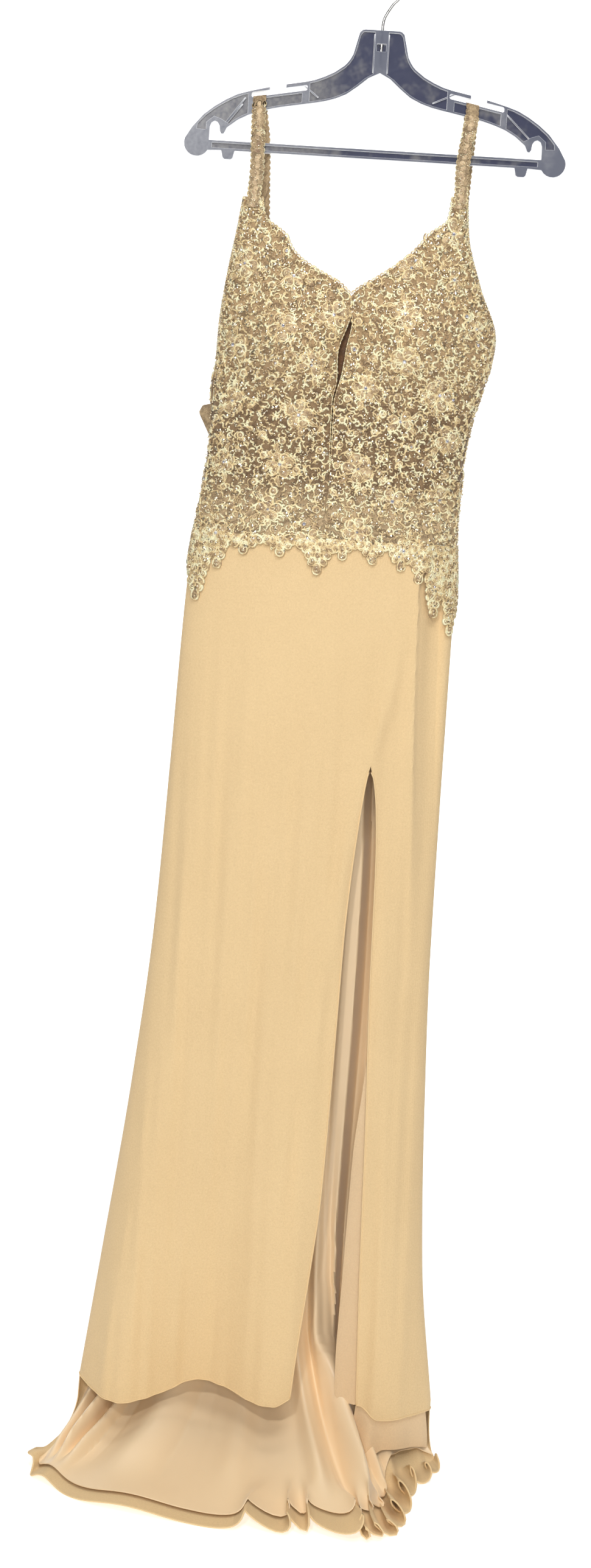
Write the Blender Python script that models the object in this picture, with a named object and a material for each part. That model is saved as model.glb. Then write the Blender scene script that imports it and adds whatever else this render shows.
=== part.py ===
"""Evening gown on a clear plastic hanger: lace bodice, slit skirt and short train.

Metres, +Z up, +Y away from the viewer. The origin is the point of the hook that hangs on a rod.
Heights are given as drops below that point. Left and right are the viewer's.
"""

import bisect
import math
from collections import namedtuple

import bmesh
import bpy
import numpy as np

# Cloth sizes
FLOOR_DROP = 1.745
JERSEY_WALL = 0.0018
LINING_WALL = 0.0012
LACE_WALL = 0.0014
STRAP_WALL = 0.0016
LACE_LIFT = 0.0029
SEAM_GAP = 0.0003
LAYER_GAP = 0.0004
LINING_GAP = 0.0033
STRAP_HALF_WIDTH = 0.0078
SCALLOP_DEPTH = 0.0010
SCALLOP_STEP = 0.0062

# Heights of the cut, as drops below the hook's rest
TAB_TOP_LEFT = 0.256
TAB_TOP_RIGHT = 0.243
UNDERARM_DROP = 0.437
BACK_SCOOP = 0.118
SKIRT_TOP = 0.590
LACE_BAND = 0.605
LACE_LINE = 0.640
SLIT_TOP = 0.8918
TRAIN_START = 1.600

# Hanger sizes
HANGER_THICK = 0.0090
WEB_THICK = 0.0022
RIM = 0.0021
NECK_TOP = 0.0655
BAR_TOP = 0.1955
BAR_BOTTOM = 0.2060
END_CENTRE_X = 0.2010
END_CENTRE_DROP = 0.1995
END_RADIUS = 0.0145
SLOT_FROM = 0.080
SLOT_TO = 0.142
SLOT_HEIGHT = 0.0055
SLOT_MOUTH = (0.104, 0.122)
SLOT_REFERENCE = 0.084
SLOT_FLOOR_THERE = 0.1357
SLOT_SLOPE = 0.184
SOCKET_HALF = 0.0075
WIRE_RADIUS = 0.0016
WIRE_CLEARANCE = 0.0003
HOOK_INNER_RADIUS = 0.0185
PIN_FOOT = 0.1010

Section = namedtuple("Section", "drop left right front back")
Cup = namedtuple("Cup", "x drop rise wide tall")
Tip = namedtuple("Tip", "x reach half_width")
TrainEdge = namedtuple("TrainEdge", "share x y")
Fold = namedtuple("Fold", "share rise wide")

# The garment's ring at each height: its left and right edge, and how far it stands forward and back
SECTIONS = (
    Section(0.240, -0.139, 0.104, 0.015, 0.014),
    Section(0.285, -0.145, 0.108, 0.022, 0.018),
    Section(0.340, -0.154, 0.125, 0.029, 0.022),
    Section(0.400, -0.161, 0.147, 0.034, 0.025),
    Section(0.430, -0.162, 0.144, 0.035, 0.026),
    Section(0.490, -0.164, 0.129, 0.034, 0.028),
    Section(0.550, -0.168, 0.120, 0.032, 0.030),
    Section(0.610, -0.176, 0.120, 0.033, 0.032),
    Section(0.700, -0.186, 0.125, 0.038, 0.035),
    Section(0.900, -0.194, 0.125, 0.043, 0.040),
    Section(1.100, -0.203, 0.126, 0.046, 0.045),
    Section(1.300, -0.221, 0.132, 0.050, 0.050),
    Section(1.500, -0.245, 0.143, 0.055, 0.056),
    Section(1.670, -0.266, 0.165, 0.058, 0.060),
)

# Cut edges, as drop and x
NECK_LEFT = ((0.256, -0.121), (0.270, -0.1195), (0.2816, -0.114), (0.2896, -0.1026), (0.297, -0.0933),
             (0.3138, -0.0837), (0.3275, -0.0675), (0.3372, -0.0498), (0.3468, -0.0313), (0.3588, -0.0175))
NECK_RIGHT = ((0.243, 0.0885), (0.255, 0.0877), (0.2697, 0.0853), (0.2875, 0.065), (0.3036, 0.0528),
              (0.3193, 0.0367), (0.3353, 0.0159), (0.3493, -0.0051), (0.3588, -0.0170))
CENTRE_FRONT = ((0.3588, -0.0172), (0.383, -0.0150), (0.423, -0.0230), (0.451, -0.0245), (0.480, -0.0295),
                (0.557, -0.0290), (0.600, -0.0310), (0.690, -0.0340))
KEYHOLE_HALF = ((0.378, 0.0), (0.392, 0.0026), (0.423, 0.0046), (0.445, 0.0032), (0.462, 0.0016),
                (0.540, 0.0010), (0.558, 0.0))
SLIT_MAIN_EDGE = ((0.590, 0.062), (0.700, 0.056), (0.800, 0.048), (0.8918, 0.0395), (0.906, 0.034),
                  (0.947, 0.030), (0.990, 0.0235), (1.060, 0.0215), (1.240, 0.0192), (1.410, 0.0160),
                  (1.453, 0.0135), (1.505, 0.0050), (1.600, -0.0045), (1.670, -0.0100))
SLIT_SIDE_EDGE = ((0.590, 0.062), (0.700, 0.056), (0.800, 0.048), (0.8918, 0.0395), (0.906, 0.0445),
                  (0.947, 0.0500), (1.000, 0.0530), (1.154, 0.0560), (1.322, 0.0617), (1.491, 0.0660),
                  (1.670, 0.0727))
FACING_EDGE = ((1.200, 0.0585), (1.272, 0.0540), (1.357, 0.0478), (1.500, 0.0455), (1.604, 0.0440),
               (1.665, 0.0465))

HEM_MAIN = ((-0.267, 1.660), (-0.245, 1.667), (-0.215, 1.671), (-0.165, 1.661), (-0.120, 1.645),
            (-0.085, 1.648), (-0.050, 1.656), (-0.028, 1.657), (-0.010, 1.646))

CUPS = (
    Cup(-0.092, 0.422, 0.027, 0.040, 0.040),
    Cup(0.064, 0.405, 0.027, 0.040, 0.040),
)

# Pointed sprays of lace below the band, from left to right
FRONT_TIPS = (
    Tip(-0.172, 0.072, 0.018),
    Tip(-0.149, 0.034, 0.009),
    Tip(-0.120, 0.016, 0.016),
    Tip(-0.079, 0.016, 0.013),
    Tip(-0.0365, 0.034, 0.017),
    Tip(-0.009, 0.016, 0.011),
    Tip(0.025, 0.019, 0.013),
    Tip(0.0575, 0.025, 0.014),
    Tip(0.078, 0.038, 0.010),
    Tip(0.0975, 0.076, 0.012),
    Tip(0.1175, 0.096, 0.016),
)
BACK_TIPS = (
    Tip(-0.168, 0.070, 0.018),
    Tip(-0.140, 0.030, 0.012),
    Tip(-0.104, 0.018, 0.015),
    Tip(-0.066, 0.022, 0.014),
    Tip(-0.028, 0.040, 0.018),
    Tip(0.008, 0.020, 0.014),
    Tip(0.044, 0.018, 0.014),
    Tip(0.080, 0.034, 0.014),
    Tip(0.1100, 0.086, 0.020),
)

# Where the train's edge lies on the floor, by its share of the way across the back
TRAIN_EDGE = (
    TrainEdge(0.000, -0.319, -0.073),
    TrainEdge(0.177, -0.298, -0.119),
    TrainEdge(0.253, -0.272, -0.142),
    TrainEdge(0.333, -0.226, -0.174),
    TrainEdge(0.403, -0.160, -0.196),
    TrainEdge(0.468, -0.101, -0.208),
    TrainEdge(0.532, -0.032, -0.213),
    TrainEdge(0.580, 0.030, -0.212),
    TrainEdge(0.631, 0.088, -0.222),
    TrainEdge(0.667, 0.118, -0.193),
    TrainEdge(0.725, 0.131, -0.132),
    TrainEdge(0.795, 0.143, -0.078),
    TrainEdge(0.856, 0.162, -0.056),
    TrainEdge(1.000, 0.179, -0.012),
)
LINING_END = ((0.0, 0.90), (0.333, 0.95), (0.500, 0.955), (0.580, 0.90), (0.631, 0.84), (0.667, 0.76),
              (0.740, 0.62), (0.850, 0.60), (1.0, 0.70))
BACK_FOLDS = (
    Fold(0.598, 0.0090, 0.0130),
    Fold(0.643, 0.0100, 0.0140),
    Fold(0.680, -0.0070, 0.0170),
    Fold(0.725, 0.0080, 0.0200),
    Fold(0.860, 0.0070, 0.0280),
    Fold(0.200, 0.0070, 0.0400),
    Fold(0.370, 0.0090, 0.0400),
)
DRAPE_FOLD = ((0.560, 0.084), (0.700, 0.087), (0.950, 0.091), (1.150, 0.096))

# Hanger arm, as x and drop
ARM_UPPER = ((0.0, 0.0655), (0.0190, 0.0655), (0.0238, 0.0672), (0.0262, 0.0720), (0.0285, 0.0830),
             (0.0312, 0.0935), (0.0400, 0.1060), (0.0550, 0.1160), (0.0760, 0.1245), (0.1040, 0.1300),
             (0.1220, 0.1340), (0.1400, 0.1385), (0.1570, 0.1435), (0.1750, 0.1530), (0.1940, 0.1670),
             (0.2070, 0.1820), (0.2146, 0.1946))
ARM_LOWER = ((0.0, 0.1120), (0.0100, 0.1165), (0.0240, 0.1280), (0.0380, 0.1380), (0.0580, 0.1455),
             (0.0860, 0.1510), (0.1150, 0.1565), (0.1430, 0.1650), (0.1580, 0.1730), (0.1680, 0.1810))
LOOP_HOOK = ((0.1712, 0.1878), (0.1738, 0.1882), (0.1756, 0.1855), (0.1763, 0.1795), (0.1785, 0.1757),
             (0.1820, 0.1745), (0.1855, 0.1765), (0.1872, 0.1810), (0.1875, BAR_TOP))
BAR_LUG = ((0.1730, BAR_BOTTOM), (0.1712, 0.2140), (0.1690, 0.2156), (0.1620, 0.2156), (0.1598, 0.2140),
           (0.1580, BAR_BOTTOM))


class Track:
    """A smooth value along a short table of rows, each a place and the value there, with no overshoot."""

    def __init__(self, rows):
        self.places = [row[0] for row in rows]
        self.values = [row[1] for row in rows]
        steps = [b - a for a, b in zip(self.places, self.places[1:])]
        slopes = [(b - a) / step for a, b, step in zip(self.values, self.values[1:], steps)]
        inner = []
        for before, after in zip(slopes, slopes[1:]):
            inner.append(0.0 if before * after <= 0 else 2 * before * after / (before + after))
        self.tangents = [slopes[0], *inner, slopes[-1]]

    def __call__(self, place):
        place = min(max(place, self.places[0]), self.places[-1])
        row = min(bisect.bisect_right(self.places, place), len(self.places) - 1) - 1
        step = self.places[row + 1] - self.places[row]
        t = (place - self.places[row]) / step
        return (
            self.values[row] * (1 + 2 * t) * (1 - t) ** 2
            + self.tangents[row] * step * t * (1 - t) ** 2
            + self.values[row + 1] * t * t * (3 - 2 * t)
            + self.tangents[row + 1] * step * t * t * (t - 1)
        )


def column(rows, key, value):
    """A track of one named column of a table against another."""
    return Track([(getattr(row, key), getattr(row, value)) for row in rows])


left_edge = column(SECTIONS, "drop", "left")
right_edge = column(SECTIONS, "drop", "right")
front_depth = column(SECTIONS, "drop", "front")
back_depth = column(SECTIONS, "drop", "back")
strap_depth = Track(((0.240, 0.012), (0.330, 0.010), (UNDERARM_DROP, 0.0)))
neck_left = Track(NECK_LEFT)
neck_right = Track(NECK_RIGHT)
centre_front = Track(CENTRE_FRONT)
keyhole_half = Track(KEYHOLE_HALF)
slit_main_edge = Track(SLIT_MAIN_EDGE)
slit_side_edge = Track(SLIT_SIDE_EDGE)
facing_edge = Track(FACING_EDGE)
hem_main = Track(HEM_MAIN)
drape_fold = Track(DRAPE_FOLD)
train_x = column(TRAIN_EDGE, "share", "x")
train_y = column(TRAIN_EDGE, "share", "y")
lining_end = Track(LINING_END)
arm_upper = Track(ARM_UPPER)
arm_lower = Track(ARM_LOWER)
wave_height = Track(((0.850, 0.0), (1.150, 0.003), (1.450, 0.011), (1.670, 0.020)))
fold_growth = Track(((0.820, 0.0), (1.000, 1.0), (FLOOR_DROP, 1.0)))
ruffle_height = Track(((0.0, 0.004), (0.45, 0.005), (0.56, 0.014), (0.70, 0.019), (1.0, 0.013)))


def ease(value, low, high):
    """0 below low, 1 above high, and smooth between."""
    t = min(max((value - low) / (high - low), 0.0), 1.0)
    return t * t * (3 - 2 * t)


def bell(distance, width):
    return math.exp(-((distance / width) ** 2))


def turn_at(drop, x):
    """How far round the ring from the left side seam, in radians, x lies at this height."""
    left, right = left_edge(drop), right_edge(drop)
    return math.acos(min(max((left + right - 2 * x) / (right - left), -1.0), 1.0))


def front_relief(drop, x, turn):
    """What the cups, the valley between them, the hip fold and the skirt's waves add to the front's depth."""
    across = math.sin(turn)
    rise = sum(
        cup.rise * bell(x - cup.x, cup.wide) * bell(drop - cup.drop, cup.tall) for cup in CUPS
    )
    between = ease(drop, 0.365, 0.400) * (1 - ease(drop, 0.520, 0.575))
    valley = 0.007 * bell(x - centre_front(drop), 0.016) * between
    hip = 0.0055 * bell(x - drape_fold(drop), 0.0085) * ease(drop, 0.56, 0.68) * (1 - ease(drop, 0.95, 1.15))
    height = wave_height(drop)
    main_waves = height * math.cos(2 * math.pi * (x + 0.022) / 0.195) * (1 - ease(x, 0.010, 0.050))
    side_wave = 0.45 * height * math.cos(2 * math.pi * (x - 0.112) / 0.130) * ease(x, 0.010, 0.050)
    return across * (rise - valley + hip) + min(1.0, 4 * across * across) * (main_waves + side_wave)


def front_point(drop, turn, lift=0.0):
    left, right = left_edge(drop), right_edge(drop)
    x = (left + right) / 2 - ((right - left) / 2 + lift) * math.cos(turn)
    edge = strap_depth(drop)
    depth = edge + (front_depth(drop) + lift - edge) * math.sin(turn) + front_relief(drop, x, turn)
    return np.array((x, -depth - SEAM_GAP / 2, -drop))


def back_point(drop, turn, lift=0.0):
    left, right = left_edge(drop), right_edge(drop)
    x = (left + right) / 2 - ((right - left) / 2 + lift) * math.cos(turn)
    depth = (back_depth(drop) + lift) * math.sin(turn)
    slack = 0.014 * bell(turn - 0.50, 0.38) * bell(drop - 0.470, 0.030)
    slack_right = 0.010 * bell(turn - 2.60, 0.40) * bell(drop - 0.560, 0.050)
    return np.array((x - slack + slack_right, depth + SEAM_GAP / 2, -drop))


def lace_hem(tips, x):
    """The drop of the lace's pointed lower edge at x."""
    reach = max(tip.reach * max(0.0, 1 - abs(x - tip.x) / tip.half_width) for tip in tips)
    return LACE_LINE + reach


def centre_x(drop):
    return (left_edge(drop) + right_edge(drop)) / 2


def normal_of(surface, u, v, step=1e-3):
    """The unit normal of a surface, on the side of the cross product of its u and v directions."""
    u, v = min(max(u, 0.0), 1.0), min(max(v, 0.0), 1.0)
    along_u = surface(u + step, v) - surface(u - step, v)
    along_v = surface(u, v + step) - surface(u, v - step)
    normal = np.cross(along_u, along_v)
    return normal / np.linalg.norm(normal)


def spread(*runs):
    """Places from 0 to 1: each run is a start, an end and how many steps it takes."""
    places = [runs[0][0]]
    for start, end, steps in runs:
        places += [start + (end - start) * (k + 1) / steps for k in range(steps)]
    return places


def material(name, colour, roughness, metallic=0.0, alpha=1.0):
    made = bpy.data.materials.get(name)
    if made is None:
        made = bpy.data.materials.new(name)
        made.use_nodes = True
        shader = made.node_tree.nodes["Principled BSDF"]
        shader.inputs["Base Color"].default_value = (*colour, 1.0)
        shader.inputs["Roughness"].default_value = roughness
        shader.inputs["Metallic"].default_value = metallic
        shader.inputs["Alpha"].default_value = alpha
    return made


def jersey():
    return material("champagne jersey", (0.84, 0.64, 0.38), 0.75)


def satin():
    return material("champagne lining", (0.82, 0.62, 0.42), 0.5)


def lace():
    return material("beaded lace", (0.62, 0.43, 0.22), 0.45, 0.2)


def finish(mesh, name, finish_material, collection, smooth_angle=50):
    thing = bpy.data.objects.new(name, mesh)
    collection.objects.link(thing)
    mesh.materials.append(finish_material)
    mesh.shade_smooth()
    mesh.set_sharp_from_angle(angle=math.radians(smooth_angle))
    return thing


def wall(name, surface, columns, rows, thickness, outward, cloth, collection, raised=None):
    """A cloth wall: the surface is its outer face, and the inner face lies one thickness inside it.

    With raised, the outer points stand out by raised(point) and the inner face has half as many rows and columns.
    """
    skip = 2 if raised else 1
    points, outer, inner = [], {}, {}
    for i, u in enumerate(columns):
        for j, v in enumerate(rows):
            place = surface(u, v)
            out = normal_of(surface, u, v) * outward
            outer[i, j] = len(points)
            on_border = i in (0, len(columns) - 1) or j in (0, len(rows) - 1)
            points.append(place if not raised or on_border else place + out * raised(place))
            if i % skip == 0 and j % skip == 0:
                inner[i, j] = len(points)
                points.append(place - out * thickness)
    faces = [
        (outer[i, j], outer[i, j + 1], outer[i + 1, j + 1], outer[i + 1, j])
        for i in range(len(columns) - 1)
        for j in range(len(rows) - 1)
    ]
    faces += [
        (inner[i, j], inner[i + skip, j], inner[i + skip, j + skip], inner[i, j + skip])
        for i in range(0, len(columns) - 1, skip)
        for j in range(0, len(rows) - 1, skip)
    ]
    last_i, last_j = len(columns) - 1, len(rows) - 1
    border = [(i, 0) for i in range(last_i)] + [(last_i, j) for j in range(last_j)]
    border += [(i, last_j) for i in range(last_i, 0, -1)] + [(0, j) for j in range(last_j, 0, -1)]
    border.append(border[0])
    for k in range(0, len(border) - 1, skip):
        edge = border[k:k + skip + 1]
        faces.append([*(outer[at] for at in edge), inner[edge[-1]], inner[edge[0]]])
    if outward > 0:
        faces = [face[::-1] for face in faces]
    mesh = bpy.data.meshes.new(name)
    mesh.from_pydata(points, [], faces)
    return finish(mesh, name, cloth, collection)


def lace_pattern(place):
    """How far the corded flowers and leaves stand out of the lace, at a point of it."""
    x, drop = float(place[0]), -float(place[2])
    pitch_x, pitch_z, radius, rise = 0.046, 0.040, 0.021, 0.0013
    row = round(drop / pitch_z)
    shift = 0.5 * pitch_x * (row % 2)
    flower_x = shift + pitch_x * round((x - shift) / pitch_x)
    dx, dz = x - flower_x, drop - row * pitch_z
    reach = math.hypot(dx, dz)
    petal = radius * (0.70 + 0.30 * abs(math.cos(2.5 * math.atan2(dz, dx) + row)))
    flower = ease(1 - reach / petal, 0.0, 0.45)
    leaf_x = dx - math.copysign(pitch_x / 2, dx)
    leaf = ease(1 - math.hypot(leaf_x / 0.008, (dz - leaf_x) / 0.014), 0.0, 0.5)
    return rise * max(flower, 0.7 * leaf)


def bodice_rows(top, hem, v, share_of_band=0.82):
    """The drop of row v: level rows down to the lace band, and then rows that close on the pointed hem."""
    if v <= share_of_band:
        return top + (LACE_BAND - top) * v / share_of_band
    return LACE_BAND + (hem - LACE_BAND) * (v - share_of_band) / (1 - share_of_band)


def front_inner_x(drop, side):
    """x of the neckline, keyhole edge or centre seam of one front half. side is -1 for left and 1 for right."""
    if drop < CENTRE_FRONT[0][0]:
        return neck_left(drop) if side < 0 else neck_right(drop)
    return centre_front(drop) + side * (keyhole_half(drop) + SEAM_GAP / 2)


def front_half(side):
    top = TAB_TOP_LEFT if side < 0 else TAB_TOP_RIGHT

    def surface(u, v):
        u = u if side < 0 else 1 - u
        start, end = (0.0, turn_at(LACE_BAND, front_inner_x(LACE_BAND, side)))
        if side > 0:
            start, end = end, math.pi
        at_band = start + (end - start) * u
        hem = lace_hem(FRONT_TIPS, front_point(LACE_BAND, at_band, LACE_LIFT)[0])
        drop = bodice_rows(top, hem, v)
        inner = turn_at(drop, front_inner_x(drop, side))
        start, end = (0.0, inner) if side < 0 else (inner, math.pi)
        return front_point(drop, start + (end - start) * u, LACE_LIFT)

    return surface


def back_half(side):
    def surface(u, v):
        u = u if side < 0 else 1 - u
        middle = math.pi / 2
        turn = middle * u if side < 0 else middle + middle * u
        top = UNDERARM_DROP + BACK_SCOOP * abs(math.sin(turn)) ** 4
        hem = lace_hem(BACK_TIPS, back_point(LACE_BAND, turn, LACE_LIFT)[0])
        drop = bodice_rows(top, hem, v, 0.70)
        place = back_point(drop, turn, LACE_LIFT)
        place[0] += side * SEAM_GAP / 2 * ease(abs(math.sin(turn)), 0.6, 1.0)
        return place

    return surface


def bodice(collection):
    half_columns = spread((0.0, 1.0, 18))
    half_rows = spread((0.0, 0.82, 26), (0.82, 1.0, 6))
    for side, word in ((-1, "left"), (1, "right")):
        wall(f"bodice_front_{word}", front_half(side), half_columns, half_rows, LACE_WALL, side,
             lace(), collection, raised=lace_pattern)
        wall(f"bodice_back_{word}", back_half(side), spread((0.0, 1.0, 14)), spread((0.0, 0.70, 6), (0.70, 1.0, 4)),
             LACE_WALL, -side, lace(), collection)


def slot_floor(x):
    return SLOT_FLOOR_THERE + SLOT_SLOPE * (abs(x) - SLOT_REFERENCE)


def lace_seat(drop, x, facing):
    """A strap's mid line where it is sewn on the bodice's face."""
    point = front_point if facing < 0 else back_point
    seat = point(drop, turn_at(drop, x), LACE_LIFT)
    seat[1] += facing * (LAYER_GAP + 0.0013 + STRAP_WALL / 2)
    return tuple(seat)


def strap_route(side):
    """Mid line of a strap, from its front end over the hanger's slot to its back end, as x, y and z."""
    x_top = -0.1330 if side < 0 else 0.1065
    sole = slot_floor(x_top)
    beside, above = HANGER_THICK / 2 + 0.0014, 0.00155
    if side < 0:
        front = [lace_seat(0.2680, -0.1300, -1), lace_seat(0.2590, -0.1302, -1), (-0.1312, -0.0120, -0.225),
                 (-0.1325, -0.0080, -0.185), (x_top, -beside, -sole - 0.011)]
        back = [(-0.1318, beside, -sole - 0.011), (-0.1262, 0.0085, -0.195), (-0.1225, 0.0130, -0.270),
                (-0.1150, 0.0195, -0.370), lace_seat(0.4780, -0.1050, 1), lace_seat(0.4920, -0.1045, 1)]
    else:
        front = [lace_seat(0.2560, 0.0968, -1), lace_seat(0.2470, 0.0972, -1), (0.0995, -0.0120, -0.215),
                 (0.1035, -0.0080, -0.175), (x_top, -beside, -sole - 0.011)]
        back = [(0.1062, beside, -sole - 0.011), (0.1045, 0.0085, -0.195), (0.1010, 0.0130, -0.270),
                (0.0930, 0.0195, -0.370), lace_seat(0.4780, 0.0720, 1), lace_seat(0.4920, 0.0715, 1)]
    over = [(x_top, -beside, -sole - 0.0005), (x_top, -beside + 0.00045, -sole + 0.0009),
            (x_top, -beside + 0.0017, -sole + above), (x_top, 0.0, -sole + above),
            (x_top, beside - 0.0017, -sole + above), (x_top, beside - 0.00045, -sole + 0.0009),
            (x_top, beside, -sole - 0.0005)]
    return np.array(front + over + back), len(front), len(over)


def strap(name, side, collection):
    route, before, over = strap_route(side)
    lengths = np.concatenate([[0.0], np.cumsum(np.linalg.norm(np.diff(route, axis=0), axis=1))])
    tracks = [Track(list(zip(lengths, route[:, axis]))) for axis in range(3)]
    crossing = (lengths[before] + lengths[before + over - 1]) / 2
    places = list(lengths[before - 1:before + over + 1])
    for start, end in ((0.0, lengths[before - 1]), (lengths[before + over], lengths[-1])):
        steps = max(2, round((end - start) / SCALLOP_STEP))
        places += [start + (end - start) * k / steps for k in range(steps + 1)]
    places = sorted({round(place, 5) for place in places})
    points, faces = [], []
    for k, place in enumerate(places):
        middle = np.array([track(place) for track in tracks])
        ahead = np.array([track(place + 1e-4) - track(place - 1e-4) for track in tracks])
        near_slot = 1 - ease(abs(place - crossing), 0.012, 0.045)
        across = np.array((1.0, 0.0, -side * SLOT_SLOPE * near_slot))
        across /= np.linalg.norm(across)
        out = np.cross(across, ahead)
        out /= np.linalg.norm(out)
        scallop = SCALLOP_DEPTH if k % 2 and near_slot < 0.5 else 0.0
        half = STRAP_HALF_WIDTH - SCALLOP_DEPTH / 2 + scallop
        for sideways, outwards in ((-1, -1), (1, -1), (1, 1), (-1, 1)):
            points.append(middle + across * half * sideways + out * STRAP_WALL / 2 * outwards)
        if k:
            start = 4 * (k - 1)
            faces += [(start + a, start + (a + 1) % 4, start + 4 + (a + 1) % 4, start + 4 + a) for a in range(4)]
    last = len(points) - 4
    faces += [(0, 1, 2, 3), (last, last + 1, last + 2, last + 3)]
    mesh = bpy.data.meshes.new(name)
    mesh.from_pydata(points, [], faces)
    model = bmesh.new()
    model.from_mesh(mesh)
    bmesh.ops.recalc_face_normals(model, faces=model.faces)
    model.to_mesh(mesh)
    model.free()
    return finish(mesh, name, lace(), collection)


def side_hem(x):
    return 1.678 - 0.016 * (1 - ease(x, 0.074, 0.100))


def side_edge(drop):
    """x of the side panel's edge: the seam down to the slit's top, and the slit's edge below."""
    return slit_main_edge(drop) if drop <= SLIT_TOP else max(slit_side_edge(drop), slit_main_edge(drop))


def skirt_drop(v, hem, top_share=0.28):
    """The drop of row v of a front panel: the same rows for both panels down to the slit."""
    if v <= top_share:
        return SKIRT_TOP + (SLIT_TOP - SKIRT_TOP) * v / top_share
    return SLIT_TOP + (hem - SLIT_TOP) * (v - top_share) / (1 - top_share)


def skirt_main(u, v):
    """The large front panel, from the left side seam at u 0 to the slit's edge at u 1."""
    at_hem = turn_at(1.665, slit_main_edge(1.665)) * u
    drop = skirt_drop(v, hem_main(front_point(1.665, at_hem)[0]))
    edge = turn_at(drop, slit_main_edge(drop) - SEAM_GAP / 2)
    return front_point(drop, edge * u)


def skirt_side(u, v):
    """The narrow front panel, from the slit's edge at u 0 to the right side seam at u 1."""
    at_hem = turn_at(1.665, slit_side_edge(1.665))
    at_hem += (math.pi - at_hem) * u
    drop = skirt_drop(v, side_hem(front_point(1.665, at_hem)[0]))
    edge = turn_at(drop, side_edge(drop) + SEAM_GAP / 2)
    return front_point(drop, edge + (math.pi - edge) * u)


def slit_facing(u, v):
    """The turned-back strip behind the side panel's slit edge."""
    drop = 1.215 + (1.664 - 1.215 - 0.004 * (2 * u - 1) ** 4) * v
    from_x = facing_edge(drop) + 0.002 * (1 - v)
    to_x = slit_side_edge(drop) + 0.008
    x = from_x + (to_x - from_x) * u
    turn = turn_at(drop, x)
    place = front_point(drop, turn)
    place[1] += JERSEY_WALL + 0.0006 + 0.009 * ease(drop, 1.20, 1.40) * max(1 - u, 0.0) ** 1.5
    return place


def side_lining(u, v):
    """The side panel's lining, which shows below its hem."""
    drop = 1.500 + (0.201 + 0.019 * ease(u, 0.0, 0.45)) * v
    start = turn_at(drop, 0.0830 - 0.009 * ease(v, 0.5, 1.0))
    inset_by = JERSEY_WALL + 0.0009 + 0.0045 * ease(v, 0.05, 0.60) + 0.0015 * (1 - math.cos(5 * math.pi * u)) * v
    return front_point(drop, start + (math.pi - 0.24 - start) * u, -inset_by)


def back_drop(share, v):
    """How far down the hanging half of the back v is. At the side seams it hangs to below the front's hem."""
    start = TRAIN_START + 0.092 * (1 - ease(math.sin(math.pi * min(max(share, 0.0), 1.0)), 0.0, 0.90))
    start = min(start + 0.055 * ease(share, 0.62, 0.74), TRAIN_START + 0.092)
    return SKIRT_TOP + (start - SKIRT_TOP) * v / 0.5


def train_base(share, v):
    """The back of the skirt with no folds. It hangs for v up to 0.5, and then sweeps forward onto the floor."""
    turn = math.pi * share
    if v <= 0.5:
        return back_point(back_drop(share, v), turn)
    w = (v - 0.5) / 0.5
    start = back_point(back_drop(share, 0.5), turn)
    end = np.array((train_x(share), train_y(share), -FLOOR_DROP))
    bend = start + (end - start) * 0.10
    bend[2] = -FLOOR_DROP + 0.004
    return start * (1 - w) ** 2 + bend * 2 * w * (1 - w) + end * w * w


def skirt_back(share, v):
    """The back with its folds, which stand in towards the front, and the ruffled edge of the train."""
    share = min(max(share, 0.0), 1.0)
    inward = -normal_of(train_base, share, v)
    w = (v - 0.5) / 0.5
    drop = back_drop(share, v)
    at_seams = math.sin(math.pi * share) ** 2
    at_seams *= ease(abs(share - 0.5), 0.0, 0.05)
    rise = sum(fold.rise * bell(share - fold.share, fold.wide) for fold in BACK_FOLDS)
    rise *= fold_growth(drop) * min(1.0, 3 * at_seams)
    rise *= 1 - 0.75 * ease(w, 0.45, 0.90)
    if w > 0:
        rise = max(rise, -0.010 * (1 - w) ** 2)
    waves = 11.5 * share if share < 0.5 else 5.75 + 19.0 * (share - 0.5)
    ruffle = ruffle_height(share) * (0.5 - 0.5 * math.cos(2 * math.pi * waves)) * ease(w, 0.66, 1.0)
    place = train_base(share, v) + inward * rise
    place[2] = max(place[2] + ruffle, -FLOOR_DROP)
    return place


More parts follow.
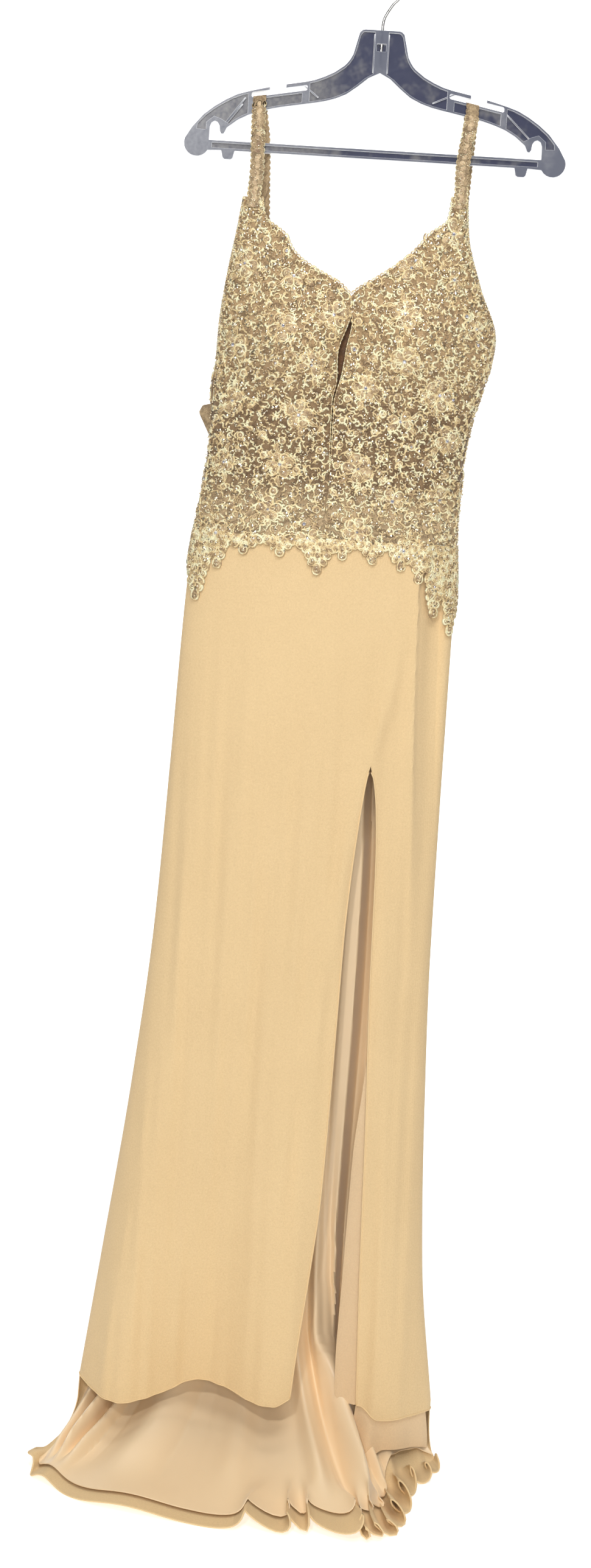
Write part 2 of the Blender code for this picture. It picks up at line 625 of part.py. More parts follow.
def skirt(collection):
    wall("skirt_front_main", skirt_main, spread((0.0, 1.0, 15)), spread((0.0, 0.28, 6), (0.28, 1.0, 14)),
         JERSEY_WALL, -1, jersey(), collection)
    wall("skirt_front_side", skirt_side, spread((0.0, 1.0, 9)), spread((0.0, 0.28, 6), (0.28, 1.0, 13)),
         JERSEY_WALL, -1, jersey(), collection)
    wall("slit_facing", slit_facing, spread((0.0, 1.0, 3)), spread((0.0, 1.0, 10)),
         LINING_WALL, -1, jersey(), collection)
    wall("side_lining", side_lining, spread((0.0, 1.0, 10)), spread((0.0, 1.0, 6)),
         LINING_WALL, -1, satin(), collection)

    def gapped(side):
        def surface(share, v):
            place = skirt_back(share, v)
            place[0] += side * SEAM_GAP / 2 * (1 - ease(abs(share - 0.5), 0.0, 0.02))
            return place

        return surface

    rows = spread((0.0, 0.08, 4), (0.08, 0.50, 6), (0.50, 0.84, 5), (0.84, 1.0, 4))
    left_columns = spread((0.0, 0.5, 15))
    right_columns = spread((0.5, 0.57, 3), (0.57, 0.70, 12), (0.70, 1.0, 11))
    wall("skirt_back_left", gapped(-1), left_columns, rows, JERSEY_WALL, 1, jersey(), collection)
    wall("skirt_back_right", gapped(1), right_columns, rows, JERSEY_WALL, 1, jersey(), collection)

    def lining(share, v):
        v = v if v <= 0.5 else 0.5 + (v - 0.5) * lining_end(share)
        return skirt_back(share, v) - normal_of(train_base, share, v) * (JERSEY_WALL + LINING_GAP)

    lining_columns = (left_columns + right_columns[1:])[3:-1]
    wall("train_lining", lining, lining_columns, spread((0.15, 0.50, 5), (0.50, 0.84, 5), (0.84, 1.0, 2)),
         LINING_WALL, 1, satin(), collection)


def mirrored(half):
    """A closed outline from its right half, given from the top middle to the bottom middle."""
    left = [(-x, drop) for x, drop in reversed(half) if abs(x) > 1e-6]
    return [*half, *left]


def inset(outline, distance):
    """A clockwise-in-x-and-drop outline drawn in by a distance."""
    points = np.array(outline)
    ahead = np.roll(points, -1, axis=0) - points
    ahead /= np.linalg.norm(ahead, axis=1)[:, None]
    behind = np.roll(ahead, 1, axis=0)
    normal_ahead = np.stack((-ahead[:, 1], ahead[:, 0]), axis=1)
    normal_behind = np.stack((-behind[:, 1], behind[:, 0]), axis=1)
    middle = normal_ahead + normal_behind
    stretch = np.sum(middle * normal_ahead, axis=1)
    return points + middle / np.maximum(stretch, 0.6)[:, None] * distance


def plate(name, outlines, thickness, y=0.0):
    """A flat plate standing in the XZ plane, centred at y, from outlines of x and drop."""
    drawing = bpy.data.curves.new(name, "CURVE")
    drawing.dimensions = "2D"
    drawing.fill_mode = "BOTH"
    drawing.extrude = thickness / 2
    for outline in outlines:
        spline = drawing.splines.new("POLY")
        spline.points.add(len(outline) - 1)
        for point, (x, drop) in zip(spline.points, outline):
            point.co = (x, -drop, 0.0, 1.0)
        spline.use_cyclic_u = True
    flat = bpy.data.objects.new(name, drawing)
    bpy.context.scene.collection.objects.link(flat)
    flat.rotation_euler = (math.pi / 2, 0.0, 0.0)
    flat.location = (0.0, y, 0.0)
    bpy.context.view_layer.update()
    mesh = bpy.data.meshes.new_from_object(flat.evaluated_get(bpy.context.evaluated_depsgraph_get()))
    mesh.transform(flat.matrix_world)
    bpy.data.objects.remove(flat)
    model = bmesh.new()
    model.from_mesh(mesh)
    bmesh.ops.remove_doubles(model, verts=model.verts, dist=1e-5)
    bmesh.ops.recalc_face_normals(model, faces=model.faces)
    model.to_mesh(mesh)
    model.free()
    return mesh


def cutter(name, mesh, collection):
    tool = bpy.data.objects.new(name, mesh)
    collection.objects.link(tool)
    tool.hide_render = True
    tool.display_type = "WIRE"
    return tool


def cut(target, tool):
    modifier = target.modifiers.new(tool.name, "BOOLEAN")
    modifier.operation = "DIFFERENCE"
    modifier.object = tool


def samples(track, start, end, steps):
    return [(x, track(x)) for x in spread((start, end, steps))]


def strap_slot():
    """The T-shaped strap slot of the right arm, from the inner rim's end to the outer rim's end."""
    roof = [slot_floor(x) - SLOT_HEIGHT for x in (SLOT_MOUTH[0], SLOT_FROM, SLOT_TO, SLOT_MOUTH[1])]
    corner = 0.0012
    return [
        (SLOT_MOUTH[0], roof[0]),
        (SLOT_FROM + corner, roof[1] + SLOT_SLOPE * corner),
        (SLOT_FROM, roof[1] + corner),
        (SLOT_FROM, slot_floor(SLOT_FROM) - corner),
        (SLOT_FROM + corner, slot_floor(SLOT_FROM + corner)),
        (SLOT_TO - corner, slot_floor(SLOT_TO - corner)),
        (SLOT_TO, slot_floor(SLOT_TO) - corner),
        (SLOT_TO, roof[2] + corner),
        (SLOT_TO - corner, roof[2] - SLOT_SLOPE * corner),
        (SLOT_MOUTH[1], roof[3]),
    ]


def hanger_outline():
    half = samples(arm_upper, 0.0, 0.0190, 1) + samples(arm_upper, 0.0190, 0.0400, 7)[1:]
    half += samples(arm_upper, 0.0400, SLOT_MOUTH[0], 6)[1:] + strap_slot()
    half += samples(arm_upper, SLOT_MOUTH[1], 0.2070, 7)
    for step in range(11):
        angle = math.radians(20 - 17 * step)
        half.append((END_CENTRE_X + END_RADIUS * math.cos(angle), END_CENTRE_DROP - END_RADIUS * math.sin(angle)))
    return mirrored([*half, *BAR_LUG, (0.0, BAR_BOTTOM)])


def hanger_gap():
    return mirrored([*samples(arm_lower, 0.0, 0.1680, 14), *LOOP_HOOK, (0.0, BAR_TOP)])


def pocket_outlines():
    """The sunk fields of the right arm: beside the socket, below the strap slot and in the shoulder."""
    neck = samples(arm_upper, SOCKET_HALF - RIM, 0.0190, 1) + samples(arm_upper, 0.0190, 0.0400, 6)[1:]
    neck += samples(arm_upper, 0.0400, SLOT_FROM - 0.0005, 4)[1:]
    neck += samples(arm_lower, SLOT_FROM - 0.0005, SOCKET_HALF - RIM, 8)
    below = [(SLOT_FROM + 0.0035, slot_floor(SLOT_FROM + 0.0035)), (SLOT_TO - 0.001, slot_floor(SLOT_TO - 0.001))]
    below += samples(arm_lower, SLOT_TO - 0.001, SLOT_FROM + 0.0035, 4)
    shoulder = samples(arm_upper, SLOT_TO + 0.0015, 0.2030, 6)
    shoulder += [(0.2045, 0.1860), (0.1895, 0.1865), (0.1893, 0.1770), (0.1825, 0.1715), (0.1760, 0.1735)]
    shoulder += samples(arm_lower, 0.1660, SLOT_TO + 0.0015, 3)
    return [inset(field, RIM) for field in (neck, below, shoulder)]


def hanger(collection, cutters):
    clear = material("clear plastic", (0.75, 0.79, 0.82), 0.12, alpha=0.45)
    body = finish(plate("hanger_body", [hanger_outline(), hanger_gap()], HANGER_THICK), "hanger_body",
                  clear, collection, 30)
    depth = (HANGER_THICK - WEB_THICK) / 2
    groove = [(-0.184, 0.1979), (0.184, 0.1979), (0.184, 0.2036), (-0.184, 0.2036)]
    fields = pocket_outlines()
    fields += [[(-x, drop) for x, drop in reversed(field)] for field in fields]
    for facing, word in ((-1, "front"), (1, "rear")):
        middle = facing * (WEB_THICK / 2 + depth)
        mesh = plate(f"pockets_{word}", [*fields, groove], 2 * depth, middle)
        cut(body, cutter(f"pockets_{word}", mesh, cutters))
    window = [(-0.0052, 0.0800), (0.0052, 0.0800), (0.0052, 0.0885), (-0.0052, 0.0885)]
    cut(body, cutter("socket_window", plate("socket_window", [window], 3 * HANGER_THICK), cutters))
    bore_radius, bore_top = WIRE_RADIUS + WIRE_CLEARANCE, NECK_TOP - 0.004
    bore_foot = PIN_FOOT + WIRE_CLEARANCE
    model = bmesh.new()
    bmesh.ops.create_cone(model, cap_ends=True, segments=16, radius1=bore_radius, radius2=bore_radius,
                          depth=bore_foot - bore_top)
    bmesh.ops.translate(model, vec=(0.0, 0.0, -(bore_foot + bore_top) / 2), verts=model.verts)
    mesh = bpy.data.meshes.new("pin_bore")
    model.to_mesh(mesh)
    model.free()
    cut(body, cutter("pin_bore", mesh, cutters))


def hook(collection):
    """The wire hook: a pin in the socket, a swan neck and a round crook with the origin under its top."""
    radius = HOOK_INNER_RADIUS + WIRE_RADIUS
    route = [(0.0, PIN_FOOT), (0.0, 0.0850), (0.0, 0.0620), (0.0006, 0.0540), (0.0032, 0.0478)]
    for step in range(22):
        angle = math.radians(-58 + 12.1 * step)
        route.append((radius * math.cos(angle), HOOK_INNER_RADIUS - radius * math.sin(angle)))
    drawing = bpy.data.curves.new("hanger_hook", "CURVE")
    drawing.dimensions = "3D"
    drawing.bevel_depth = WIRE_RADIUS
    drawing.bevel_resolution = 2
    drawing.use_fill_caps = True
    spline = drawing.splines.new("POLY")
    spline.points.add(len(route) - 1)
    for point, (x, drop) in zip(spline.points, route):
        point.co = (x, 0.0, -drop, 1.0)
    wire = bpy.data.objects.new("hanger_hook", drawing)
    collection.objects.link(wire)
    drawing.materials.append(material("hook steel", (0.72, 0.70, 0.66), 0.25, 1.0))


def main():
    for thing in list(bpy.data.objects):
        bpy.data.objects.remove(thing)
    gown = bpy.data.collections.new("evening gown")
    cutters = bpy.data.collections.new("cutters")
    bpy.context.scene.collection.children.link(gown)
    bpy.context.scene.collection.children.link(cutters)
    hanger(gown, cutters)
    hook(gown)
    bodice(gown)
    for side, word in ((-1, "left"), (1, "right")):
        strap(f"strap_{word}", side, gown)
    skirt(gown)


main()
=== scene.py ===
import math

import bpy
import numpy as np
from mathutils import Matrix


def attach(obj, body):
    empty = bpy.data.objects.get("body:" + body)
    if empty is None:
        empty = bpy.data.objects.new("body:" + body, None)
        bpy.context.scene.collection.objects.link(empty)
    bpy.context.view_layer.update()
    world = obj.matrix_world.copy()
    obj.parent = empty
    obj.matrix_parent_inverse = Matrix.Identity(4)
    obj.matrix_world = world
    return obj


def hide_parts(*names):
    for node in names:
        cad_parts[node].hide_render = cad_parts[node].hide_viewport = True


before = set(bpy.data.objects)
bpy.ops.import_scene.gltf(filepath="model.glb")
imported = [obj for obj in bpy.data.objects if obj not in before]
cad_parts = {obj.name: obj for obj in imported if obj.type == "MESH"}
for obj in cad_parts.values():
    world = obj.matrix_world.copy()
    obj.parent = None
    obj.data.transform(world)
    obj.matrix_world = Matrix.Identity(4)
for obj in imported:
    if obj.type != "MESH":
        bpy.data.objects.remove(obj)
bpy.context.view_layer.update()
print("frame loaded")

# camera first: eye in metres, tilt and roll in degrees
photoView = {"eye": (-0.0458, -2.587, -0.558), "tiltDown": 8.0, "roll": 3.5, "lens": 51.1, "sensor": 36}


def linked(name, data):
    made = bpy.data.objects.new(name, data)
    bpy.context.scene.collection.objects.link(made)
    return made


def standAt(thing, right, up, ahead, place):
    turned = np.eye(4)
    turned[:3, 0], turned[:3, 1], turned[:3, 2], turned[:3, 3] = right, up, -ahead, place
    thing.matrix_world = Matrix(turned.tolist())


def placeCamera(view):
    tilt, roll = math.radians(view["tiltDown"]), math.radians(view["roll"])
    ahead = np.array((0.0, math.cos(tilt), -math.sin(tilt)))
    right = np.array((1.0, 0.0, 0.0))
    up = np.cross(right, ahead)
    across = math.cos(roll) * right + math.sin(roll) * up
    upright = math.cos(roll) * up - math.sin(roll) * right
    data = bpy.data.cameras.new("photoView")
    data.lens = view["lens"]
    data.sensor_width = view["sensor"]
    camera = linked("photoView", data)
    standAt(camera, across, upright, ahead, view["eye"])
    bpy.context.scene.camera = camera


placeCamera(photoView)
print("camera placed")


# a socket that does sums
class Wire:
    def __init__(self, socket):
        self.socket = socket
        self.tree = socket.id_data

    def out(self, name):
        return Wire(self.socket.node.outputs[name])

    def sums(self, operation, first, second=0.0):
        made = self.tree.nodes.new("ShaderNodeMath")
        made.operation = operation
        for slot, value in zip(made.inputs, (first, second)):
            if isinstance(value, Wire):
                self.tree.links.new(value.socket, slot)
            else:
                slot.default_value = value
        return Wire(made.outputs[0])

    def __add__(self, other):
        return self.sums("ADD", self, other)

    def __radd__(self, other):
        return self.sums("ADD", other, self)

    def __sub__(self, other):
        return self.sums("SUBTRACT", self, other)

    def __rsub__(self, other):
        return self.sums("SUBTRACT", other, self)

    def __mul__(self, other):
        return self.sums("MULTIPLY", self, other)

    def __rmul__(self, other):
        return self.sums("MULTIPLY", other, self)

    def __truediv__(self, other):
        return self.sums("DIVIDE", self, other)

    def __rtruediv__(self, other):
        return self.sums("DIVIDE", other, self)

    def wave(self):
        return self.sums("SINE", self)


class Finish:
    def __init__(self, name, fixed):
        self.material = bpy.data.materials.new(name)
        self.material.use_nodes = True
        self.tree = self.material.node_tree
        self.shader = self.tree.nodes["Principled BSDF"]
        for socket, value in fixed.items():
            self.shader.inputs[socket].default_value = value

    def node(self, kind, settings=None, sockets=None):
        made = self.tree.nodes.new(kind)
        for key, value in (settings or {}).items():
            if key == "stops":
                ramp = made.color_ramp
                while len(ramp.elements) < len(value):
                    ramp.elements.new(0.5)
                for stop, (place, colour) in zip(ramp.elements, value):
                    stop.position = place
                    stop.color = colour
            else:
                setattr(made, key, value)
        for key, value in (sockets or {}).items():
            slot = next(s for s in made.inputs if s.enabled and s.name == key)
            if isinstance(value, Wire):
                self.tree.links.new(value.socket, slot)
            else:
                slot.default_value = value
        return Wire(next(o for o in made.outputs if o.enabled))

    def feed(self, socket, wire):
        self.tree.links.new(wire.socket, self.shader.inputs[socket])

    def place(self, kind="Object"):
        return self.node("ShaderNodeTexCoord").out(kind)

    def noise(self, vector, scale, detail=2.0, roughness=0.5):
        return self.node("ShaderNodeTexNoise", {}, {"Vector": vector, "Scale": scale, "Detail": detail,
                                                    "Roughness": roughness})

    def blend(self, share, low, high):
        return self.node("ShaderNodeMix", {"data_type": "RGBA"}, {"Factor": share, "A": low, "B": high})

    def bump(self, height, distance, strength):
        return self.node("ShaderNodeBump", {}, {"Height": height, "Distance": distance, "Strength": strength})

    def split(self, vector, axis):
        return self.node("ShaderNodeSeparateXYZ", {}, {"Vector": vector}).out(axis)

    def between(self, value, low, high, first=0.0, last=1.0):
        return self.node("ShaderNodeMapRange", {"interpolation_type": "SMOOTHSTEP"},
                         {"Value": value, "From Min": low, "From Max": high, "To Min": first, "To Max": last})

    def ramp(self, value, stops):
        return self.node("ShaderNodeValToRGB", {"stops": stops}, {"Fac": value})


# cloth colours are linear
jerseyLook = {"light": (0.91, 0.68, 0.38, 1), "deep": (0.77, 0.55, 0.29, 1), "crepe": 0.0008, "rough": 0.82}


def jerseyFinish(name, look):
    made = Finish(name, {"Sheen Weight": 0.2, "Sheen Roughness": 0.5, "Specular IOR Level": 0.12,
                         "Sheen Tint": (1.0, 0.9, 0.75, 1)})
    spot = made.place("UV")
    tint = made.noise(spot, 7.0, 3.0)
    crepe = made.noise(spot, 1400.0, 2.0, 0.6)
    pebble = made.noise(spot, 420.0, 2.0, 0.55)
    rib = (made.split(spot, "X") * 5200.0).wave() * 0.5 + 0.5
    shade = made.blend(tint * 0.5 + crepe * 1.7 + pebble * 1.1 - 1.15, look["deep"], look["light"])
    made.feed("Base Color", shade)
    made.feed("Roughness", crepe * 0.12 + (look["rough"] - 0.06))
    height = crepe * 0.55 + pebble * 0.35 + rib * 0.15
    made.feed("Normal", made.bump(height, look["crepe"], 0.9))
    return made.material


satinLook = {"light": (0.98, 0.765, 0.495, 1), "deep": (0.91, 0.69, 0.43, 1), "rough": 0.36}


def satinFinish():
    look = satinLook
    made = Finish("champagne satin lining", {"Sheen Weight": 0.25, "Sheen Roughness": 0.3,
                                             "Specular IOR Level": 0.55, "Anisotropic": 0.4})
    spot = made.place("UV")
    tint = made.noise(spot, 9.0, 3.0)
    yarn = (made.split(spot, "Y") * 7000.0).wave() * 0.5 + 0.5
    fine = made.noise(spot, 900.0, 2.0)
    made.feed("Base Color", made.blend(tint * 0.8 + fine * 0.2, look["deep"], look["light"]))
    made.feed("Roughness", fine * 0.14 + (look["rough"] - 0.07))
    made.feed("Normal", made.bump(yarn * 0.4 + fine * 0.6, 0.0001, 0.7))
    return made.material


# tones are linear; cup and hip are the lighter layers beneath the sheer mesh, waist is painted shade of the
# hollow seen through it
meshLook = {"cup": (0.55, 0.37, 0.19, 1), "waist": (0.30, 0.19, 0.095, 1), "hip": (0.66, 0.48, 0.27, 1),
            "strap": (0.50, 0.36, 0.20, 1), "shade": (0.07, 0.035, 0.015, 1), "net": 640.0}


def meshFinish(name, tones, places):
    made = Finish(name, {"Sheen Weight": 0.2, "Specular IOR Level": 0.35})
    spot = made.place("UV")
    cells = made.node("ShaderNodeTexVoronoi", {"feature": "DISTANCE_TO_EDGE"},
                      {"Vector": spot, "Scale": meshLook["net"]})
    thread = made.between(cells, 0.04, 0.22, 1.0, 0.0)
    cloud = made.noise(spot, 95.0, 3.0, 0.65)
    low, run = places[0], places[-1] - places[0]
    # tone by height: darker at the waist from painted shade of the hollow, lighter over the cups and the
    # skirt
    along = made.split(made.place("Object"), "Z") * (1 / run) - low / run
    tone = made.ramp(along, [((place - low) / run, tone) for place, tone in zip(places, tones)])
    dark = made.blend(0.70, tone, meshLook["shade"])
    patch = made.between(cloud, 0.36, 0.62)
    made.feed("Base Color", made.blend(thread * 0.25 + patch * 0.85, dark, tone))
    made.feed("Roughness", 0.72 - thread * 0.2)
    made.feed("Normal", made.bump(thread + cloud * 0.6, 0.0003, 0.9))
    return made.material


cordLook = {"light": (1.0, 0.93, 0.61, 1), "middle": (0.88, 0.68, 0.35, 1), "deep": (0.40, 0.26, 0.13, 1)}


def cordFinish():
    look = cordLook
    made = Finish("pale gold cord", {"Metallic": 0.08, "Sheen Weight": 0.2, "Specular IOR Level": 0.6})
    spot = made.place("Object")
    cloud = made.noise(spot, 130.0, 2.0)
    fine = made.noise(spot, 900.0, 2.0)
    stops = [(0.36, look["deep"]), (0.49, look["middle"]), (0.58, look["light"])]
    made.feed("Base Color", made.ramp(cloud * 0.75 + fine * 0.27, stops))
    made.feed("Roughness", fine * 0.25 + 0.28)
    made.feed("Normal", made.bump(made.noise(spot, 1500.0, 1.0), 0.0002, 0.8))
    return made.material


petalLook = {"light": (0.62, 0.46, 0.27, 1), "deep": (0.21, 0.125, 0.065, 1)}


def petalFinish():
    look = petalLook
    made = Finish("gold petal embroidery", {"Metallic": 0.15, "Sheen Weight": 0.35, "Sheen Roughness": 0.3,
                                            "Specular IOR Level": 0.5})
    spot = made.place("Object")
    cloud = made.noise(spot, 150.0, 3.0, 0.6)
    floss = made.noise(spot, 1300.0, 2.0, 0.7)
    share = made.node("ShaderNodeMapRange", {},
                      {"Value": cloud * 0.8 + floss * 0.2, "From Min": 0.36, "From Max": 0.60})
    made.feed("Base Color", made.blend(share, look["deep"], look["light"]))
    made.feed("Roughness", floss * 0.3 + 0.35)
    made.feed("Normal", made.bump(floss, 0.0003, 0.9))
    return made.material


def glitterFinish(name, light, deep, metallic, rough, coat=0.0):
    made = Finish(name, {"Metallic": metallic, "Coat Weight": coat, "Coat Roughness": 0.05})
    spot = made.place("Object")
    cloud = made.noise(spot, 260.0, 2.0)
    made.feed("Base Color", made.ramp(cloud, [(0.35, deep), (0.62, light)]))
    made.feed("Roughness", made.noise(spot, 600.0) * 0.2 + (rough - 0.1))
    return made.material


# hanger colours are linear: body is painted shade, the dark seen through the clear plastic; rim is the
# painted highlight colour and edge the alpha of its lines
plasticLook = {"body": (0.045, 0.050, 0.095, 1), "smear": (0.30, 0.29, 0.27, 1), "rib": (0.17, 0.18, 0.22, 1),
               "rim": (0.93, 0.94, 0.96, 1), "clear": 0.88, "edge": 0.97, "line": 0.0013}


def plasticFinish():
    look = plasticLook
    made = Finish("clear plastic, painted shade and edge highlights", {"Specular IOR Level": 0.2, "IOR": 1.5, "Coat Weight": 0.1,
                                            "Coat Roughness": 0.03})
    spot = made.place("Object")
    smear = made.noise(spot, 30.0, 3.0, 0.6)
    scuff = made.noise(spot, 240.0, 3.0)
    leftSide = made.split(spot, "X") + smear * 0.03  # the left arm is cloudier
    milky = made.between(leftSide, -0.055, -0.020, 0.65, 0.0)
    cloudy = smear.sums("MAXIMUM", made.between(smear, 0.46, 0.72) * 0.55, milky * (scuff * 1.1 + 0.25))
    depth = made.split(spot, "Y")
    # proud rims take the lighter rib colour in place of the painted shade
    rim = made.between(depth.sums("ABSOLUTE", depth), 0.0016, 0.0043)
    # painted highlight: bright, less clear lines along every edge, where the bevelled normal turns away from
    # the faces
    lean = made.split(made.node("ShaderNodeBevel", {"samples": 8}, {"Radius": look["line"]}), "Y")
    edge = made.between(1.0 - lean.sums("ABSOLUTE", lean), 0.03, 0.40)
    # the field is painted shade seen through, lightened where smears cloud it
    field = made.blend(cloudy, look["body"], look["smear"])
    body = made.blend(rim * 0.75, field, made.blend(cloudy * 0.18, look["rib"], look["rim"]))
    made.feed("Base Color", made.blend(edge, body, look["rim"]))
    made.feed("Alpha", edge * (look["edge"] - look["clear"]) + look["clear"])
    made.feed("Roughness", scuff * 0.2 + 0.08)
    made.feed("Normal", made.bump(smear * 0.5 + scuff * 0.2, 0.0003, 0.25))
    return made.material


def steelFinish():
    made = Finish("plated hook wire", {"Metallic": 1.0})
    spot = made.place("Object")
    wear = made.noise(spot, 320.0, 3.0)
    made.feed("Base Color", made.blend(wear, (0.52, 0.50, 0.47, 1), (0.80, 0.79, 0.76, 1)))
    made.feed("Roughness", wear * 0.25 + 0.16)
    made.feed("Normal", made.bump(made.noise(spot, 1400.0), 0.00005, 0.5))
    return made.material


jersey = jerseyFinish("champagne crepe jersey", jerseyLook)
wrongSideLook = {**jerseyLook, "light": (0.90, 0.67, 0.41, 1), "deep": (0.79, 0.57, 0.34, 1)}
wrongSide = jerseyFinish("jersey wrong side", wrongSideLook)
satin = satinFinish()
tanTones = [meshLook[part] for part in ("hip", "hip", "waist", "waist", "cup", "cup")]
tanMesh = meshFinish("tan embroidered mesh", tanTones, (-0.75, -0.605, -0.565, -0.49, -0.43, -0.24))
strapMesh = meshFinish("strap mesh", (meshLook["strap"], meshLook["strap"]), (-0.5, -0.1))
# painted shade: dark brown net for the keyhole's shaded hollow
keyholeShadeNet = meshFinish("brown net, painted keyhole shade", ((0.17, 0.075, 0.024, 1), (0.13, 0.058, 0.020, 1)), (-0.6, -0.3))
goldCord = cordFinish()
goldPetal = petalFinish()
pearlBead = glitterFinish("pearl beads", (0.95, 0.86, 0.66, 1), (0.70, 0.54, 0.31, 1), 0.45, 0.24, 0.5)
goldSequin = glitterFinish("gold sequins", (1.0, 0.90, 0.68, 1), (0.70, 0.50, 0.26, 1), 0.9, 0.18)
clearStone = glitterFinish("clear stones", (0.97, 0.98, 1.0, 1), (0.62, 0.60, 0.74, 1), 0.75, 0.12, 1.0)
clearPlastic = plasticFinish()
hookSteel = steelFinish()
print("finishes made")


# smooth value along a table of places, no overshoot
class Track:
    def __init__(self, rows):
        self.places = np.array([row[0] for row in rows], float)
        self.values = np.array([row[1] for row in rows], float)
        self.steps = np.diff(self.places)
        slopes = np.diff(self.values) / self.steps
        inner = np.zeros(len(slopes) - 1)
        same = slopes[:-1] * slopes[1:] > 0
        inner[same] = (2 * slopes[:-1] * slopes[1:])[same] / (slopes[:-1] + slopes[1:])[same]
        self.tangents = np.concatenate([slopes[:1], inner, slopes[-1:]])

    def __call__(self, place):
        place = np.clip(place, self.places[0], self.places[-1])
        row = np.clip(np.searchsorted(self.places, place, side="right") - 1, 0, len(self.steps) - 1)
        step = self.steps[row]
        t = (place - self.places[row]) / step
        near = self.values[row] * (1 + 2 * t) * (1 - t) ** 2 + self.tangents[row] * step * t * (1 - t) ** 2
        far = row + 1
        return near + self.values[far] * t * t * (3 - 2 * t) + self.tangents[far] * step * t * t * (t - 1)


def ease(value, low, high):
    t = np.clip((value - low) / (high - low), 0.0, 1.0)
    return t * t * (3 - 2 * t)


def bell(distance, width):
    return np.exp(-((distance / width) ** 2))


def unit(vectors):
    return vectors / np.maximum(np.linalg.norm(vectors, axis=-1, keepdims=True), 1e-12)


def runOf(points):  # length along a route at each of its points
    return np.concatenate([[0.0], np.cumsum(np.linalg.norm(np.diff(points, axis=0), axis=1))])


# the same cut as the solids: drops are below the hook's rest
cut = {
    "floor": 1.745, "seam": 0.0003, "laceLift": 0.0029, "skirtTop": 0.590, "laceBand": 0.605,
    "laceLine": 0.640, "slitTop": 0.8918, "trainStart": 1.600, "underarm": 0.437, "scoop": 0.118,
    "tabTops": (0.256, 0.243),
    "sections": ((0.240, -0.139, 0.104, 0.015, 0.014), (0.285, -0.145, 0.108, 0.022, 0.018),
                 (0.340, -0.154, 0.125, 0.029, 0.022), (0.400, -0.161, 0.147, 0.034, 0.025),
                 (0.430, -0.162, 0.144, 0.035, 0.026), (0.490, -0.164, 0.129, 0.034, 0.028),
                 (0.550, -0.168, 0.120, 0.032, 0.030), (0.610, -0.176, 0.120, 0.033, 0.032),
                 (0.700, -0.186, 0.125, 0.038, 0.035), (0.900, -0.194, 0.125, 0.043, 0.040),
                 (1.100, -0.203, 0.126, 0.046, 0.045), (1.300, -0.221, 0.132, 0.050, 0.050),
                 (1.500, -0.245, 0.143, 0.055, 0.056), (1.670, -0.266, 0.165, 0.058, 0.060)),
    "cups": ((-0.092, 0.422, 0.027, 0.040, 0.040), (0.064, 0.405, 0.027, 0.040, 0.040)),
}
leftEdge, rightEdge, frontDepth, backDepth = (
    Track([(row[0], row[k]) for row in cut["sections"]]) for k in (1, 2, 3, 4))
strapDepth = Track(((0.240, 0.012), (0.330, 0.010), (0.437, 0.0)))
neckLeft = Track(((0.256, -0.121), (0.270, -0.1195), (0.2816, -0.114), (0.2896, -0.1026),
                  (0.297, -0.0933), (0.3138, -0.0837), (0.3275, -0.0675), (0.3372, -0.0498),
                  (0.3468, -0.0313), (0.3588, -0.0175)))
neckRight = Track(((0.243, 0.0885), (0.255, 0.0877), (0.2697, 0.0853), (0.2875, 0.065), (0.3036, 0.0528),
                   (0.3193, 0.0367), (0.3353, 0.0159), (0.3493, -0.0051), (0.3588, -0.0170)))
centreFront = Track(((0.3588, -0.0172), (0.383, -0.0150), (0.423, -0.0230), (0.451, -0.0245),
                     (0.480, -0.0295), (0.557, -0.0290), (0.600, -0.0310), (0.690, -0.0340)))
keyholeHalf = Track(((0.378, 0.0), (0.392, 0.0026), (0.423, 0.0046), (0.445, 0.0032), (0.462, 0.0016),
                     (0.540, 0.0010), (0.558, 0.0)))
slitMainEdge = Track(((0.590, 0.062), (0.700, 0.056), (0.800, 0.048), (0.8918, 0.0395), (0.900, 0.0368),
                      (0.930, 0.0328), (0.968, 0.0292), (1.030, 0.0245), (1.090, 0.0214), (1.184, 0.0194),
                      (1.277, 0.0174), (1.403, 0.0137), (1.500, 0.0055), (1.600, -0.0045),
                      (1.670, -0.0100)))
slitSideEdge = Track(((0.590, 0.062), (0.700, 0.056), (0.800, 0.048), (0.8918, 0.0395), (0.906, 0.0445),
                      (0.947, 0.0500), (1.000, 0.0530), (1.154, 0.0560), (1.322, 0.0617), (1.491, 0.0660),
                      (1.670, 0.0727)))
facingEdge = Track(((1.200, 0.0585), (1.272, 0.0540), (1.357, 0.0478), (1.500, 0.0455), (1.604, 0.0440),
                    (1.665, 0.0465)))
hemMain = Track(((-0.267, 1.660), (-0.245, 1.667), (-0.215, 1.671), (-0.165, 1.661), (-0.120, 1.645),
                 (-0.085, 1.648), (-0.050, 1.656), (-0.028, 1.657), (-0.010, 1.646)))
drapeFold = Track(((0.560, 0.084), (0.700, 0.087), (0.950, 0.091), (1.150, 0.096)))
waveHeight = Track(((0.850, 0.0), (1.150, 0.003), (1.450, 0.011), (1.670, 0.020)))
foldGrowth = Track(((0.820, 0.0), (1.000, 1.0), (1.745, 1.0)))


def turnAt(drop, x):
    left, right = leftEdge(drop), rightEdge(drop)
    return np.arccos(np.clip((left + right - 2 * x) / (right - left), -1.0, 1.0))


